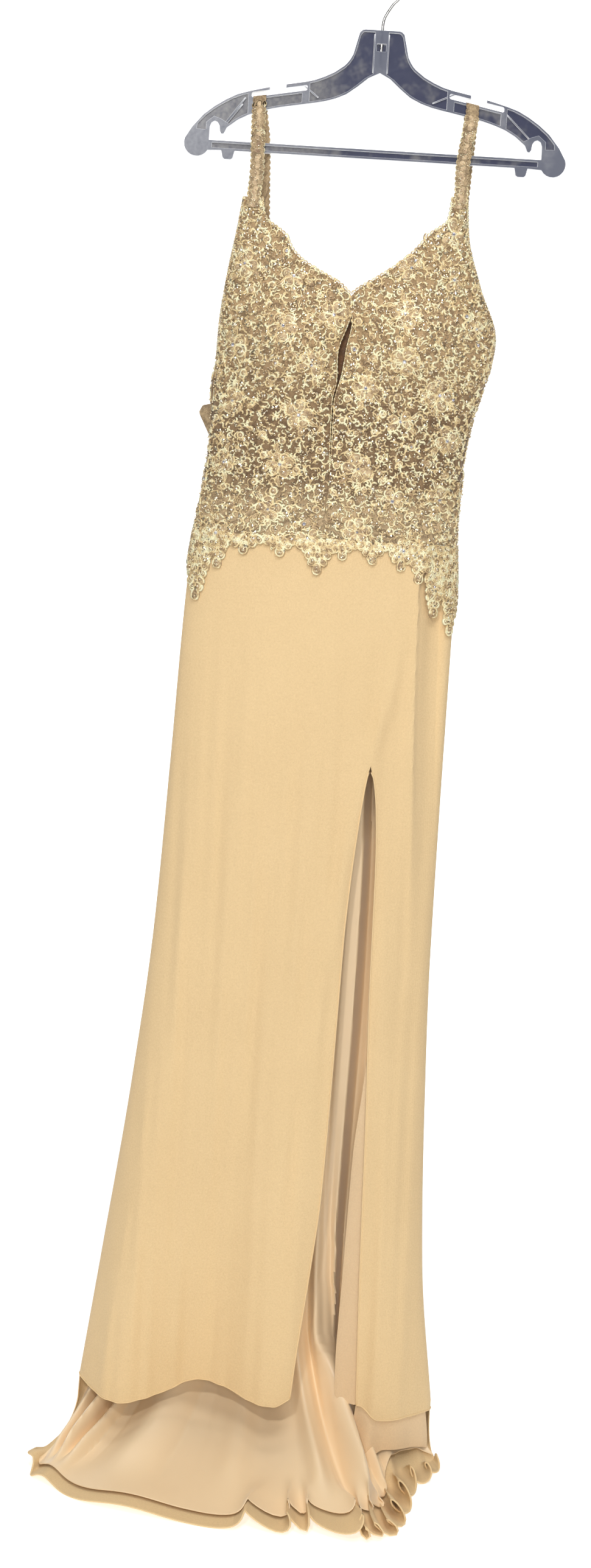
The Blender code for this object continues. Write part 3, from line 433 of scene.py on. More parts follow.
def frontRelief(drop, x, turn):
    across = np.sin(turn)
    rise = sum(r * bell(x - cx, w) * bell(drop - cz, t) for cx, cz, r, w, t in cut["cups"])
    between = ease(drop, 0.365, 0.400) * (1 - ease(drop, 0.520, 0.575))
    valley = 0.007 * bell(x - centreFront(drop), 0.016) * between
    hip = 0.0055 * bell(x - drapeFold(drop), 0.0085) * ease(drop, 0.56, 0.68) * (1 - ease(drop, 0.95, 1.15))
    height = waveHeight(drop)
    mainWaves = height * np.cos(2 * math.pi * (x + 0.022) / 0.195) * (1 - ease(x, 0.010, 0.050))
    sideWave = 0.45 * height * np.cos(2 * math.pi * (x - 0.112) / 0.130) * ease(x, 0.010, 0.050)
    return across * (rise - valley + hip) + np.minimum(1.0, 4 * across * across) * (mainWaves + sideWave)


def frontPoint(drop, turn, lift=0.0, folds=0.0):
    left, right = leftEdge(drop), rightEdge(drop)
    x = (left + right) / 2 - ((right - left) / 2 + lift) * np.cos(turn)
    edge = strapDepth(drop)
    depth = edge + (frontDepth(drop) + lift - edge) * np.sin(turn) + frontRelief(drop, x, turn) + folds
    return np.stack(np.broadcast_arrays(x, -depth - cut["seam"] / 2, -drop), axis=-1)


def backPoint(drop, turn, lift=0.0):
    left, right = leftEdge(drop), rightEdge(drop)
    x = (left + right) / 2 - ((right - left) / 2 + lift) * np.cos(turn)
    depth = (backDepth(drop) + lift) * np.sin(turn)
    slack = 0.014 * bell(turn - 0.50, 0.38) * bell(drop - 0.470, 0.030)
    slackRight = 0.010 * bell(turn - 2.60, 0.40) * bell(drop - 0.560, 0.050)
    return np.stack(np.broadcast_arrays(x - slack + slackRight, depth + cut["seam"] / 2, -drop), axis=-1)


# mesh helpers
def meshObject(name, points, faceSets, finish, uv=None, sharp=50):
    data = bpy.data.meshes.new(name)
    loops = np.concatenate([faces.ravel() for faces in faceSets])
    sizes = np.concatenate([np.full(len(faces), faces.shape[1]) for faces in faceSets])
    starts = np.concatenate([[0], np.cumsum(sizes)[:-1]])
    data.vertices.add(len(points))
    data.vertices.foreach_set("co", np.ascontiguousarray(points, dtype=np.float32).ravel())
    data.loops.add(len(loops))
    data.loops.foreach_set("vertex_index", loops.astype(np.int32))
    data.polygons.add(len(sizes))
    data.polygons.foreach_set("loop_start", starts.astype(np.int32))
    data.update(calc_edges=True)
    if uv is not None:
        layer = data.uv_layers.new(name="cloth")
        layer.data.foreach_set("uv", np.ascontiguousarray(uv[loops], dtype=np.float32).ravel())
    data.materials.append(finish)
    data.shade_smooth()
    if sharp:
        data.set_sharp_from_angle(angle=math.radians(sharp))
    made = linked(name, data)
    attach(made, "root")
    return made


def gridNormals(points, outward):
    return outward * unit(np.cross(np.gradient(points, axis=0), np.gradient(points, axis=1)))


# closed thin cloth from a grid of outer points, columns by rows
def clothShell(name, points, thickness, outward, finish, standsFor=None):
    columns, rows = points.shape[:2]
    inner = points - gridNormals(points, outward) * thickness
    index = np.arange(columns * rows).reshape(columns, rows)
    quads = np.stack((index[:-1, :-1], index[:-1, 1:], index[1:, 1:], index[1:, :-1]), -1).reshape(-1, 4)
    under = quads[:, ::-1] + columns * rows
    ring = np.concatenate([index[:-1, 0], index[-1, :-1], index[:0:-1, -1], index[0, :0:-1]])
    after = np.roll(ring, -1)
    rim = np.stack((ring, after, after + columns * rows, ring + columns * rows), -1)
    faces = np.concatenate([quads, under, rim])
    if outward > 0:
        faces = faces[:, ::-1]
    across = np.zeros((columns, rows))
    along = np.zeros((columns, rows))
    across[1:] = np.cumsum(np.linalg.norm(np.diff(points, axis=0), axis=-1), axis=0)
    along[:, 1:] = np.cumsum(np.linalg.norm(np.diff(points, axis=1), axis=-1), axis=1)
    across = across - across.mean(axis=0, keepdims=True)
    uv = np.tile(np.stack((across, along), -1).reshape(-1, 2), (2, 1))
    both = np.concatenate([points.reshape(-1, 3), inner.reshape(-1, 3)])
    made = meshObject(name, both, [faces], finish, uv)
    if standsFor:
        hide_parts(standsFor)
    return made


def signedFlip(points, faceSets):
    volume = 0.0
    for faces in faceSets:
        a = points[faces[:, 0]]
        for k in range(1, faces.shape[1] - 1):
            volume += np.sum(a * np.cross(points[faces[:, k]], points[faces[:, k + 1]]))
    return [faces[:, ::-1] for faces in faceSets] if volume < 0 else faceSets


def joined(name, parts, finish, sharp=0):
    points, quads, tris, offset = [], [], [], 0
    for place, four, three in parts:
        points.append(place)
        quads.append(four + offset)
        tris.append(three + offset)
        offset += len(place)
    points = np.concatenate(points)
    sets = [s for s in (np.concatenate(quads), np.concatenate(tris)) if len(s)]
    return meshObject(name, points, signedFlip(points, sets), finish, None, sharp)


# thin closed tube along a route, as a rolled or turned edge
def edgeTube(routes, radius, sides=6):
    points, quads, tris, offset = [], [], [], 0
    for route in routes:
        route = np.asarray(route)
        ahead = unit(np.gradient(route, axis=0))
        first = unit(np.cross(ahead, (0.0, 1.0, 0.13)))
        second = np.cross(ahead, first)
        angles = np.arange(sides) * 2 * math.pi / sides
        ring = route[:, None] + radius * (first[:, None] * np.cos(angles)[None, :, None]
                                          + second[:, None] * np.sin(angles)[None, :, None])
        count = len(route)
        index = np.arange(count * sides).reshape(count, sides) + offset
        after = np.roll(index, -1, axis=1)
        quads.append(np.stack((index[:-1], index[1:], after[1:], after[:-1]), -1).reshape(-1, 4))
        caps = [(index[0, 0], index[0, k], index[0, k + 1]) for k in range(1, sides - 1)]
        caps += [(index[-1, 0], index[-1, k + 1], index[-1, k]) for k in range(1, sides - 1)]
        tris.append(np.array(caps))
        points.append(ring.reshape(-1, 3))
        offset += count * sides
    return np.concatenate(points), np.concatenate(quads), np.concatenate(tris)


def grid(columns, rows):
    return np.meshgrid(columns, rows, indexing="ij")


def evenGrid(sizes):
    return grid(*(np.linspace(0, 1, size) for size in sizes))


# skirt front
skirt = {"thick": 0.0011, "mainGrid": (84, 124), "sideGrid": (48, 116), "hem": 0.0010}
# soft folds: rise, width, then where they run as drop and x
frontFolds = (
    (0.0026, 0.009, ((0.66, 0.074), (0.80, 0.058), (0.90, 0.034), (1.05, 0.012), (1.25, -0.006))),
    (0.0016, 0.013, ((0.62, -0.010), (0.90, -0.022), (1.20, -0.040), (1.60, -0.060))),
    (0.0018, 0.016, ((0.70, -0.095), (1.00, -0.110), (1.35, -0.128), (1.66, -0.150))),
    (0.0016, 0.012, ((0.80, -0.150), (1.10, -0.168), (1.40, -0.190), (1.66, -0.212))),
    (-0.0016, 0.011, ((0.90, -0.060), (1.20, -0.078), (1.66, -0.105))),
    (0.0015, 0.008, ((0.95, -0.004), (1.20, -0.020), (1.45, -0.040))),
    (0.0014, 0.009, ((1.00, 0.066), (1.30, 0.080), (1.62, 0.094))),
    (-0.0013, 0.009, ((0.95, 0.092), (1.30, 0.108), (1.62, 0.124))),
)
hipPleat = Track(((0.600, 0.0795), (0.692, 0.0822), (0.775, 0.0846), (0.845, 0.0871), (0.916, 0.0905),
                  (0.987, 0.0939), (1.150, 0.1010)))


def softFolds(drop, x):
    total = 0.0
    for rise, wide, route in frontFolds:
        path = Track(route)
        first, last = route[0][0], route[-1][0]
        total = total + 1.7 * rise * bell(x - path(drop), wide) * ease(drop, first, first + 0.18) * (
            1 - 0.6 * ease(drop, last - 0.1, last))
    beyond = x - hipPleat(drop)
    fade = ease(drop, 0.58, 0.64) * (1 - ease(drop, 0.86, 1.12))
    sharp = 0.0014 + 0.008 * ease(drop, 0.75, 1.05)
    ridge = 0.0034 * np.exp(-np.maximum(-beyond, 0.0) / 0.011) * (1 - 0.6 * ease(beyond, 0.0, sharp))
    valley = np.interp(beyond, (0.0, 0.0015, 0.026, 0.042), (0.0, 0.0032, 0.0150, 0.0))
    streaks = 0.0007 * np.sin(x * 232 + 3.1 * drop) + 0.0005 * np.sin(x * 371 - 5.3 * drop + 1.7)
    return total + fade * (ridge - valley) + streaks * ease(drop, 0.66, 0.95)


def skirtDrop(v, hem, topShare=0.28):
    top = cut["skirtTop"] + (cut["slitTop"] - cut["skirtTop"]) * v / topShare
    low = cut["slitTop"] + (hem - cut["slitTop"]) * (v - topShare) / (1 - topShare)
    return np.where(v <= topShare, top, low)


def sideHem(x):
    return 1.678 - 0.016 * (1 - ease(x, 0.074, 0.100))


def sideEdge(drop):
    below = np.maximum(slitSideEdge(drop), slitMainEdge(drop))
    return np.where(drop <= cut["slitTop"], slitMainEdge(drop), below)


def frontPanel(side, u, v):
    edgeAtHem = turnAt(1.665, slitMainEdge(1.665) if side < 0 else slitSideEdge(1.665))
    atHem = edgeAtHem * u if side < 0 else edgeAtHem + (math.pi - edgeAtHem) * u
    hemX = frontPoint(np.full_like(atHem, 1.665), atHem)[..., 0]
    drop = skirtDrop(v, hemMain(hemX) if side < 0 else sideHem(hemX))
    if side < 0:
        turn = turnAt(drop, slitMainEdge(drop)) * u
    else:
        edge = turnAt(drop, sideEdge(drop))
        turn = edge + (math.pi - edge) * u
    x = frontPoint(drop, turn)[..., 0]
    fade = np.minimum(1.0, 3 * np.sin(turn) ** 2)
    return frontPoint(drop, turn, 0.0, softFolds(drop, x) * fade)


panels = frontPanel(-1, *evenGrid(skirt["mainGrid"])), frontPanel(1, *evenGrid(skirt["sideGrid"]))
mainPanel = clothShell("skirtFrontMain", panels[0], skirt["thick"], -1, jersey, "skirt_front_main")
sidePanel = clothShell("skirtFrontSide", panels[1], skirt["thick"], -1, jersey, "skirt_front_side")
slitRows = np.linspace(0.285, 1, 120)
hemRoutes = [frontPanel(-1, np.linspace(0, 1, 120), np.ones(120)), frontPanel(-1, np.ones(120), slitRows),
             frontPanel(1, np.linspace(0, 1, 60), np.ones(60)), frontPanel(1, np.zeros(120), slitRows)]
joined("skirtFrontHems", [edgeTube(hemRoutes, skirt["hem"])], jersey)
print("skirt front made")


# turned-back facing and the lining behind the narrow panel
narrow = {"facingGrid": (12, 110), "liningGrid": (50, 70), "thick": 0.0009}


def facingPoint(u, v):
    drop = 1.215 + (1.664 - 1.215 - 0.009 * (2 * u - 1) ** 4) * v
    fromX = facingEdge(drop) + 0.002 * (1 - v)
    x = fromX + (slitSideEdge(drop) + 0.008 - fromX) * u
    place = frontPoint(drop, turnAt(drop, x))
    place[..., 1] += 0.0024 + 0.009 * ease(drop, 1.20, 1.40) * (1 - u) ** 1.5
    return place


sideLiningHem = Track(((0.0, 0.197), (0.10, 0.228), (0.14, 0.234), (0.20, 0.225), (0.30, 0.218),
                       (0.60, 0.220), (1.0, 0.227)))


def sideLiningPoint(u, v):
    drop = 1.500 + sideLiningHem(u) * v
    start = turnAt(drop, 0.0830 - 0.009 * ease(v, 0.5, 1.0))
    insetBy = 0.0027 + 0.0045 * ease(v, 0.05, 0.60) + 0.0008 * (1 - np.cos(5 * math.pi * u)) * v
    place = frontPoint(drop, start + (math.pi - 0.16 - start) * u, -insetBy)
    place[..., 0] += 0.010 * u * ease(v, 0.6, 1.0)
    place[..., 1] -= 0.012 * bell(u - 0.13, 0.09) * ease(v, 0.55, 1.0)
    return place


strips = facingPoint(*evenGrid(narrow["facingGrid"])), sideLiningPoint(*evenGrid(narrow["liningGrid"]))
facing = clothShell("slitFacing", strips[0], narrow["thick"], -1, wrongSide, "slit_facing")
sideLining = clothShell("sidePanelLining", strips[1], narrow["thick"], -1, wrongSide,
                        "side_lining")
print("facing and side lining made")


# back and train
train = {"leftGrid": (104, 92), "rightRows": 104, "thick": 0.0011, "hem": 0.0011, "liningThick": 0.0008,
         "liningHem": 0.0008, "liningGap": 0.0051, "roundCorner": 0.13}
trainEdge = ((0.000, -0.319, -0.073), (0.177, -0.298, -0.119), (0.253, -0.272, -0.142),
             (0.333, -0.226, -0.174), (0.403, -0.160, -0.196), (0.468, -0.101, -0.208),
             (0.532, -0.032, -0.213), (0.580, 0.030, -0.212), (0.631, 0.088, -0.222),
             (0.667, 0.118, -0.193), (0.725, 0.131, -0.132), (0.795, 0.143, -0.078),
             (0.856, 0.162, -0.056), (1.000, 0.179, -0.012))
trainX = Track([(row[0], row[1]) for row in trainEdge])
trainY = Track([(row[0], row[2]) for row in trainEdge])
liningEnd = Track(((0.0, 0.90), (0.333, 0.95), (0.500, 0.955), (0.580, 0.935), (0.631, 0.915),
                   (0.667, 0.88), (0.740, 0.68), (0.850, 0.60), (1.0, 0.70)))
ruffleHeight = Track(((0.0, 0.010), (0.06, 0.013), (0.12, 0.010), (0.20, 0.005), (0.28, 0.006),
                      (0.43, 0.003), (0.49, 0.009), (0.53, 0.019), (0.58, 0.017), (0.62, 0.024),
                      (0.66, 0.031), (0.72, 0.026), (0.82, 0.018), (1.0, 0.012)))
curlShare = Track(((0.0, 0.0), (0.45, 0.0), (0.50, 0.9), (0.54, 1.45), (0.66, 1.35), (0.80, 1.1),
                   (0.90, 0.6), (1.0, 0.0)))
curlLean = Track(((0.0, 0.0), (0.46, 0.0), (0.52, -0.014), (0.565, -0.010),
                  (0.61, 0.004), (0.65, -0.014), (0.70, -0.012), (0.78, 0.010), (0.90, 0.0), (1.0, 0.0)))
trainWaves = Track(((0.0, 0.0), (0.12, 0.9), (0.24, 1.8), (0.44, 2.8), (0.526, 3.5), (0.561, 4.5),
                    (0.577, 5.5), (0.620, 6.5), (0.636, 7.5), (0.650, 8.5), (0.670, 9.5), (0.696, 10.5),
                    (0.735, 11.5), (0.795, 12.5), (0.870, 13.5), (1.0, 14.5)))
sweepFolds = ((0.130, 0.030, 0.0150, 0.020), (0.180, 0.000, -0.0120, 0.014),
              (0.220, -0.030, 0.0220, 0.020), (0.256, -0.055, -0.0150, 0.012),
              (0.290, -0.075, 0.0150, 0.016), (0.324, -0.085, -0.0100, 0.015),
              (0.375, -0.060, 0.0100, 0.030), (0.440, -0.050, -0.0090, 0.022),
              (0.490, 0.000, 0.0110, 0.024), (0.575, 0.020, 0.0150, 0.010),
              (0.600, 0.030, -0.0110, 0.009), (0.622, 0.036, 0.0190, 0.010),
              (0.648, 0.030, -0.0090, 0.008), (0.674, 0.020, 0.0130, 0.010))
slitGap = Track(((0.880, 0.0420), (0.945, 0.0432), (1.006, 0.0468), (1.100, 0.0480), (1.194, 0.0482),
                 (1.290, 0.0468), (1.418, 0.0450), (1.548, 0.0440), (1.700, 0.0440)))
shelf = {"rise": 0.042, "left": (-0.150, -0.055), "right": (-0.005, 0.007)}
backFolds = ((0.598, 0.0050, 0.0100), (0.628, -0.0040, 0.0070), (0.700, -0.0080, 0.0140),
             (0.735, 0.0080, 0.0200), (0.860, 0.0070, 0.0280), (0.200, 0.0070, 0.0400),
             (0.370, 0.0090, 0.0400))


def backDrop(share, v):
    start = cut["trainStart"] + 0.092 * (1 - ease(np.sin(math.pi * np.clip(share, 0.0, 1.0)), 0.0, 0.90))
    start = np.minimum(start + 0.055 * ease(share, 0.62, 0.74), cut["trainStart"] + 0.092)
    return cut["skirtTop"] + (start - cut["skirtTop"]) * v / 0.5


def trainBase(share, v):
    turn = math.pi * share
    hanging = backPoint(backDrop(share, np.minimum(v, 0.5)), turn)
    w = np.maximum((v - 0.5) / 0.5, 0.0)[..., None]
    end = np.stack(np.broadcast_arrays(trainX(share), trainY(share), -cut["floor"]), axis=-1)
    bend = hanging + (end - hanging) * 0.10
    bend[..., 2] = -cut["floor"] + 0.004
    swept = hanging * (1 - w) ** 2 + bend * 2 * w * (1 - w) + end * w * w
    return np.where(w > 0, swept, hanging)


def normalOf(surface, u, v, step=1e-3):
    u, v = np.clip(u, 0.0, 1.0), np.clip(v, 0.0, 1.0)
    across = surface(u + step, v) - surface(u - step, v)
    return unit(np.cross(across, surface(u, v + step) - surface(u, v - step)))


def softNormal(share, v):  # no kink where the train begins
    return unit(sum(normalOf(trainBase, share, v + step) for step in (-0.07, -0.035, 0.0, 0.035, 0.07)))


def change(track, share):
    return track(share + 2e-3) - track(share - 2e-3)


def skirtBack(share, v):
    share = np.clip(share, 0.0, 1.0)
    v = np.where(v > 0.5, 0.5 + (v - 0.5) * (1 - train["roundCorner"] * (1 - ease(share, 0.0, 0.07)) ** 2), v)
    w = (v - 0.5) / 0.5
    atSeams = np.sin(math.pi * share) ** 2 * ease(np.abs(share - 0.5), 0.0, 0.05)
    rise = sum(r * bell(share - s, wide) for s, r, wide in backFolds)
    rise = rise * foldGrowth(backDrop(share, v)) * np.minimum(1.0, 3 * atSeams)
    drop = backDrop(share, np.minimum(v, 0.5))
    beside = share - turnAt(drop, slitGap(drop)) / math.pi
    forward = ease(beside, *shelf["left"]) * (1 - ease(beside, *shelf["right"])) * ease(drop, 0.80, 0.95)
    rise = rise + shelf["rise"] * forward * (1 - 0.65 * ease(w, -0.10, 0.70))
    rise = rise * (1 - 0.6 * ease(w, 0.60, 0.98))
    sweep = sum(r * bell(share - (s + lean * np.clip(w, 0, 1)), wide) for s, lean, r, wide in sweepFolds)
    rise = rise + sweep * ease(w, -0.35, 0.10) * (1 - ease(w, 0.70, 0.96))
    rise = np.where(w > 0, np.maximum(rise, -0.010 * (1 - w) ** 2), rise)
    phase = 2 * math.pi * trainWaves(share)
    grow = ease(w, 0.76, 1.0)
    ahead = np.stack([change(trainX, share), change(trainY, share)], -1)
    wave = np.linalg.norm(ahead, axis=-1) / np.maximum(change(trainWaves, share), 0.02)
    ahead = unit(ahead)
    high = np.minimum(ruffleHeight(share), 0.75 * wave)
    ruffle = high * (0.5 - 0.5 * np.cos(phase)) * grow
    curl = curlShare(share) * np.minimum(wave, 0.055) / (2 * math.pi) * np.sin(phase)
    slide = (curlLean(share) * (0.5 - 0.5 * np.cos(phase)) + curl) * grow
    push = high * (0.30 * np.cos(phase) + 0.22 * np.sin(phase)) * grow
    flap = (0.009 * bell(w - 0.90, 0.10) + 0.006 * ease(w, 0.88, 1.0)) * (1 - ease(share, 0.0, 0.09))
    place = trainBase(share, v) - softNormal(share, v) * rise[..., None]
    outside = np.stack((ahead[..., 1], -ahead[..., 0]), -1)
    place[..., :2] = place[..., :2] + ahead * slide[..., None] + outside * push[..., None]
    place[..., 2] = np.maximum(place[..., 2] + ruffle + flap, -cut["floor"])
    return place


def steps(*stretches):  # uneven spacing, each stretch as its start and count, the last with its end
    parts = [np.linspace(first, after[0], count, endpoint=False)
             for (first, count), after in zip(stretches[:-1], stretches[1:])]
    return np.concatenate(parts + [np.linspace(*stretches[-1])])


def backRows(count):
    hanging = int(count * 0.4)
    return steps((0.0, hanging), (0.5, 1.0, count - hanging))


leftHalf = skirtBack(*grid(np.linspace(0.0, 0.5, train["leftGrid"][0]), backRows(train["leftGrid"][1])))
backLeft = clothShell("skirtBackLeft", leftHalf, train["thick"], 1, jersey, "skirt_back_left")
rightHalf = skirtBack(*grid(steps((0.5, 26), (0.56, 144), (0.74, 1.0, 68)), backRows(train["rightRows"])))
backRight = clothShell("skirtBackRight", rightHalf, train["thick"], 1, jersey, "skirt_back_right")


def liningPoint(share, v):
    v = np.where(v <= 0.5, v, 0.5 + (v - 0.5) * liningEnd(share))
    return skirtBack(share, v) - softNormal(share, v) * train["liningGap"]


trainInside = liningPoint(*grid(steps((0.10, 90), (0.40, 20), (0.50, 124), (0.72, 0.97, 28)),
                                steps((0.15, 45), (0.5, 1.0, 45))))
trainLining = clothShell("trainLining", trainInside, train["liningThick"], 1, satin,
                         "train_lining")
trainEnd = skirtBack(np.linspace(0.004, 0.996, 420), np.ones(420))
joined("trainHem", [edgeTube([trainEnd], train["hem"])], jersey)
insideEnd = liningPoint(np.linspace(0.105, 0.965, 300), np.ones(300))
joined("trainLiningHem", [edgeTube([insideEnd], train["liningHem"])], satin)
print("back, train and lining made")


# bodice shells, with the pointed hem
bodice = {"thick": 0.0012, "frontGrid": (64, 80), "backGrid": (56, 44)}
frontTips = ((-0.172, 0.072, 0.018), (-0.149, 0.034, 0.009), (-0.120, 0.016, 0.016),
             (-0.079, 0.016, 0.013), (-0.0365, 0.034, 0.017), (-0.009, 0.016, 0.011),
             (0.025, 0.019, 0.013), (0.0575, 0.025, 0.014), (0.078, 0.038, 0.010), (0.0975, 0.076, 0.012),
             (0.1175, 0.096, 0.016))
backTips = ((-0.168, 0.070, 0.018), (-0.140, 0.030, 0.012), (-0.104, 0.018, 0.015),
            (-0.066, 0.022, 0.014), (-0.028, 0.040, 0.018), (0.008, 0.020, 0.014), (0.044, 0.018, 0.014),
            (0.080, 0.034, 0.014), (0.1100, 0.086, 0.020))


def laceHem(tips, x, share=1.0):
    reach = np.zeros_like(x)
    for middle, deep, half in tips:
        point = np.maximum(0.0, 1 - np.abs(x - middle) / (share * half)) ** 0.85
        reach = np.maximum(reach, share * deep * point)
    return cut["laceLine"] - 0.004 * (1 - share) / 0.2 + reach


def bodiceRows(top, hem, v, band=0.82):
    level = top + (cut["laceBand"] - top) * v / band
    pointed = cut["laceBand"] + (hem - cut["laceBand"]) * (v - band) / (1 - band)
    return np.where(v <= band, level, pointed)


def frontInnerX(drop, side):
    neck = neckLeft(drop) if side < 0 else neckRight(drop)
    return np.where(drop < 0.3588, neck, centreFront(drop) + side * (keyholeHalf(drop) + cut["seam"] / 2))


def bodiceFront(side, u, v, lift):
    top = cut["tabTops"][0] if side < 0 else cut["tabTops"][1]
    band = np.full_like(u, cut["laceBand"])
    inner = turnAt(band, frontInnerX(band, side))
    atBand = inner * u if side < 0 else inner + (math.pi - inner) * u
    hem = laceHem(frontTips, frontPoint(band, atBand, lift)[..., 0], 0.8)
    drop = bodiceRows(top, hem, v)
    inner = turnAt(drop, frontInnerX(drop, side))
    return frontPoint(drop, inner * u if side < 0 else inner + (math.pi - inner) * u, lift)


def scoopTop(turn):
    return cut["underarm"] + cut["scoop"] * np.abs(np.sin(turn)) ** 4


def bodiceBack(side, u, v, lift):
    turn = math.pi / 2 * u if side < 0 else math.pi / 2 + math.pi / 2 * u
    band = np.full_like(u, cut["laceBand"])
    hem = laceHem(backTips, backPoint(band, turn, lift)[..., 0], 0.8)
    drop = bodiceRows(scoopTop(turn), hem, v, 0.70)
    place = backPoint(drop, turn, lift)
    place[..., 0] += side * cut["seam"] / 2 * ease(np.abs(np.sin(turn)), 0.6, 1.0)
    return place


shellLift = cut["laceLift"] - 0.0002
for side, word in ((-1, "left"), (1, "right")):
    for half, surface, outward in (("front", bodiceFront, -1), ("back", bodiceBack, 1)):
        points = surface(side, *evenGrid(bodice[half + "Grid"]), shellLift)
        name = "bodice" + half.title() + word.title()
        clothShell(name, points, bodice["thick"], outward, tanMesh,
                                 "bodice_" + half + "_" + word)
print("bodice shells made")


# faces of the lace: unrolled x and drop to a point at a height over the mesh
unrolled = {"half": 0.150, "deep": 0.034, "width": 0.300}
arcTurns = np.linspace(0.0, math.pi, 181)
arcSteps = np.hypot(unrolled["half"] * np.diff(np.cos(arcTurns)),
                    unrolled["deep"] * np.diff(np.sin(arcTurns)))
arcLengths = np.concatenate([[0.0], np.cumsum(arcSteps)])
arcLengths -= arcLengths[-1] / 2


def spotTurn(spots):
    left, right = leftEdge(spots[..., 1]), rightEdge(spots[..., 1])
    arc = (spots[..., 0] - (left + right) / 2) / ((right - left) / unrolled["width"])
    turn = np.interp(arc, arcLengths, arcTurns)
    over = np.maximum(arc - arcLengths[-1], 0.0) + np.minimum(arc - arcLengths[0], 0.0)
    return turn + over / unrolled["deep"]


def frontFace(spots, height=0.0):
    return frontPoint(spots[..., 1], spotTurn(spots), cut["laceLift"] + height)


def backFace(spots, height=0.0):
    return backPoint(spots[..., 1], spotTurn(spots), cut["laceLift"] + height)


def trueX(spots):
    left, right = leftEdge(spots[..., 1]), rightEdge(spots[..., 1])
    return (left + right) / 2 - (right - left) / 2 * np.cos(spotTurn(spots))


def insideFront(spots, margin):
    x, drop = trueX(spots), spots[..., 1]
    left = x < centreFront(drop)
    top = np.where(left, cut["tabTops"][0], cut["tabTops"][1])
    inner = np.where(left, frontInnerX(drop, -1) - x, x - frontInnerX(drop, 1))
    turn = spotTurn(spots)
    outer = unrolled["deep"] * np.minimum(turn, math.pi - turn)
    within = (drop > top + margin) & (drop < laceHem(frontTips, x) - margin)
    return within & (inner > margin) & (outer > margin)


def insideBack(spots, margin):
    x, drop, turn = trueX(spots), spots[..., 1], spotTurn(spots)
    return ((drop > scoopTop(turn) + margin) & (drop < laceHem(backTips, x) - margin)
            & (np.minimum(turn, math.pi - turn) * unrolled["deep"] > margin))


# cords: three-sided closed strips along strokes of x and drop
def cordParts(strokes, widths, height, face, closed):
    strokes = np.array(strokes)
    count, length = strokes.shape[:2]
    if closed:
        ahead = np.roll(strokes, -1, axis=1) - np.roll(strokes, 1, axis=1)
    else:
        ahead = np.gradient(strokes, axis=1)
    ahead = unit(ahead)
    across = np.stack((-ahead[..., 1], ahead[..., 0]), axis=-1)
    taper = np.ones(length) if closed else 0.45 + 0.55 * np.sin(math.pi * np.linspace(0.08, 0.92, length))
    half = (np.array(widths)[:, None] * taper[None, :] / 2)[..., None]
    sides = face(strokes + across * half, 0.0), face(strokes, height), face(strokes - across * half, 0.0)
    points = np.stack(sides, axis=2).reshape(-1, 3)
    index = np.arange(len(points)).reshape(count, length, 3)
    following = np.roll(index, -1, axis=1) if closed else index[:, 1:]
    current = index if closed else index[:, :-1]
    beside = [np.roll(part, -1, axis=-1) for part in (following, current)]
    quads = np.moveaxis(np.stack((current, following, *beside), -1), -2, 0).reshape(-1, 4)
    ends = np.zeros((0, 3), int)
    if not closed:
        ends = np.concatenate([index[:, 0, :], index[:, -1, ::-1]])
    return points, quads, ends


# filled petals and leaves: a low cushion inside each outline
def petalParts(outlines, height, face):
    outlines = np.array(outlines)
    count, length = outlines.shape[:2]
    middle = outlines.mean(axis=1, keepdims=True)
    low = face(outlines, -0.0001)
    high = face(middle + (outlines - middle) * 0.86, height * 0.75)
    top = face(middle, height)
    points = np.concatenate([low, high, top], axis=1).reshape(-1, 3)
    base = (np.arange(count) * (2 * length + 1))[:, None]
    k = np.arange(length)[None, :]
    n = (k + 1) % length
    sides = np.stack((base + k, base + n, base + length + n, base + length + k), -1).reshape(-1, 4)
    fan = np.stack((base + length + k, base + length + n, base + 2 * length + 0 * k), -1).reshape(-1, 3)
    floor = np.stack((base + 0 * k[:, 1:-1], base + n[:, 1:-1], base + k[:, 1:-1]), -1).reshape(-1, 3)
    return points, sides, np.concatenate([fan, floor])


def surfaceFrame(spots, face, outward):
    step = 0.0006
    ahead = face(spots + (step, 0.0)) - face(spots - (step, 0.0))
    down = face(spots + (0.0, step)) - face(spots - (0.0, step))
    ahead = unit(ahead)
    out = unit(np.cross(ahead, down) * outward)
    return ahead, np.cross(out, ahead), out


# copies of a small closed shape standing on the lace
def studParts(spots, sizes, face, outward, shape, faces, height, tilt=0.0, rng=None):
    across, down, out = surfaceFrame(spots, face, outward)
    if tilt:
        lean = rng.normal(0.0, tilt, (len(spots), 2))
        out = unit(out + across * lean[:, :1] + down * lean[:, 1:])
        across = unit(np.cross(down, out))
        down = np.cross(out, across)
    sizes = np.asarray(sizes)[:, None, None]
    local = shape[None, :, :] * sizes
    flat = face(spots)[:, None, :] + across[:, None, :] * local[..., :1] + down[:, None, :] * local[..., 1:2]
    points = flat + out[:, None, :] * (local[..., 2:] + height * sizes)
    offset = (np.arange(len(spots)) * len(shape))[:, None, None]
    return points.reshape(-1, 3), np.zeros((0, 4), int), (np.array(faces)[None] + offset).reshape(-1, 3)


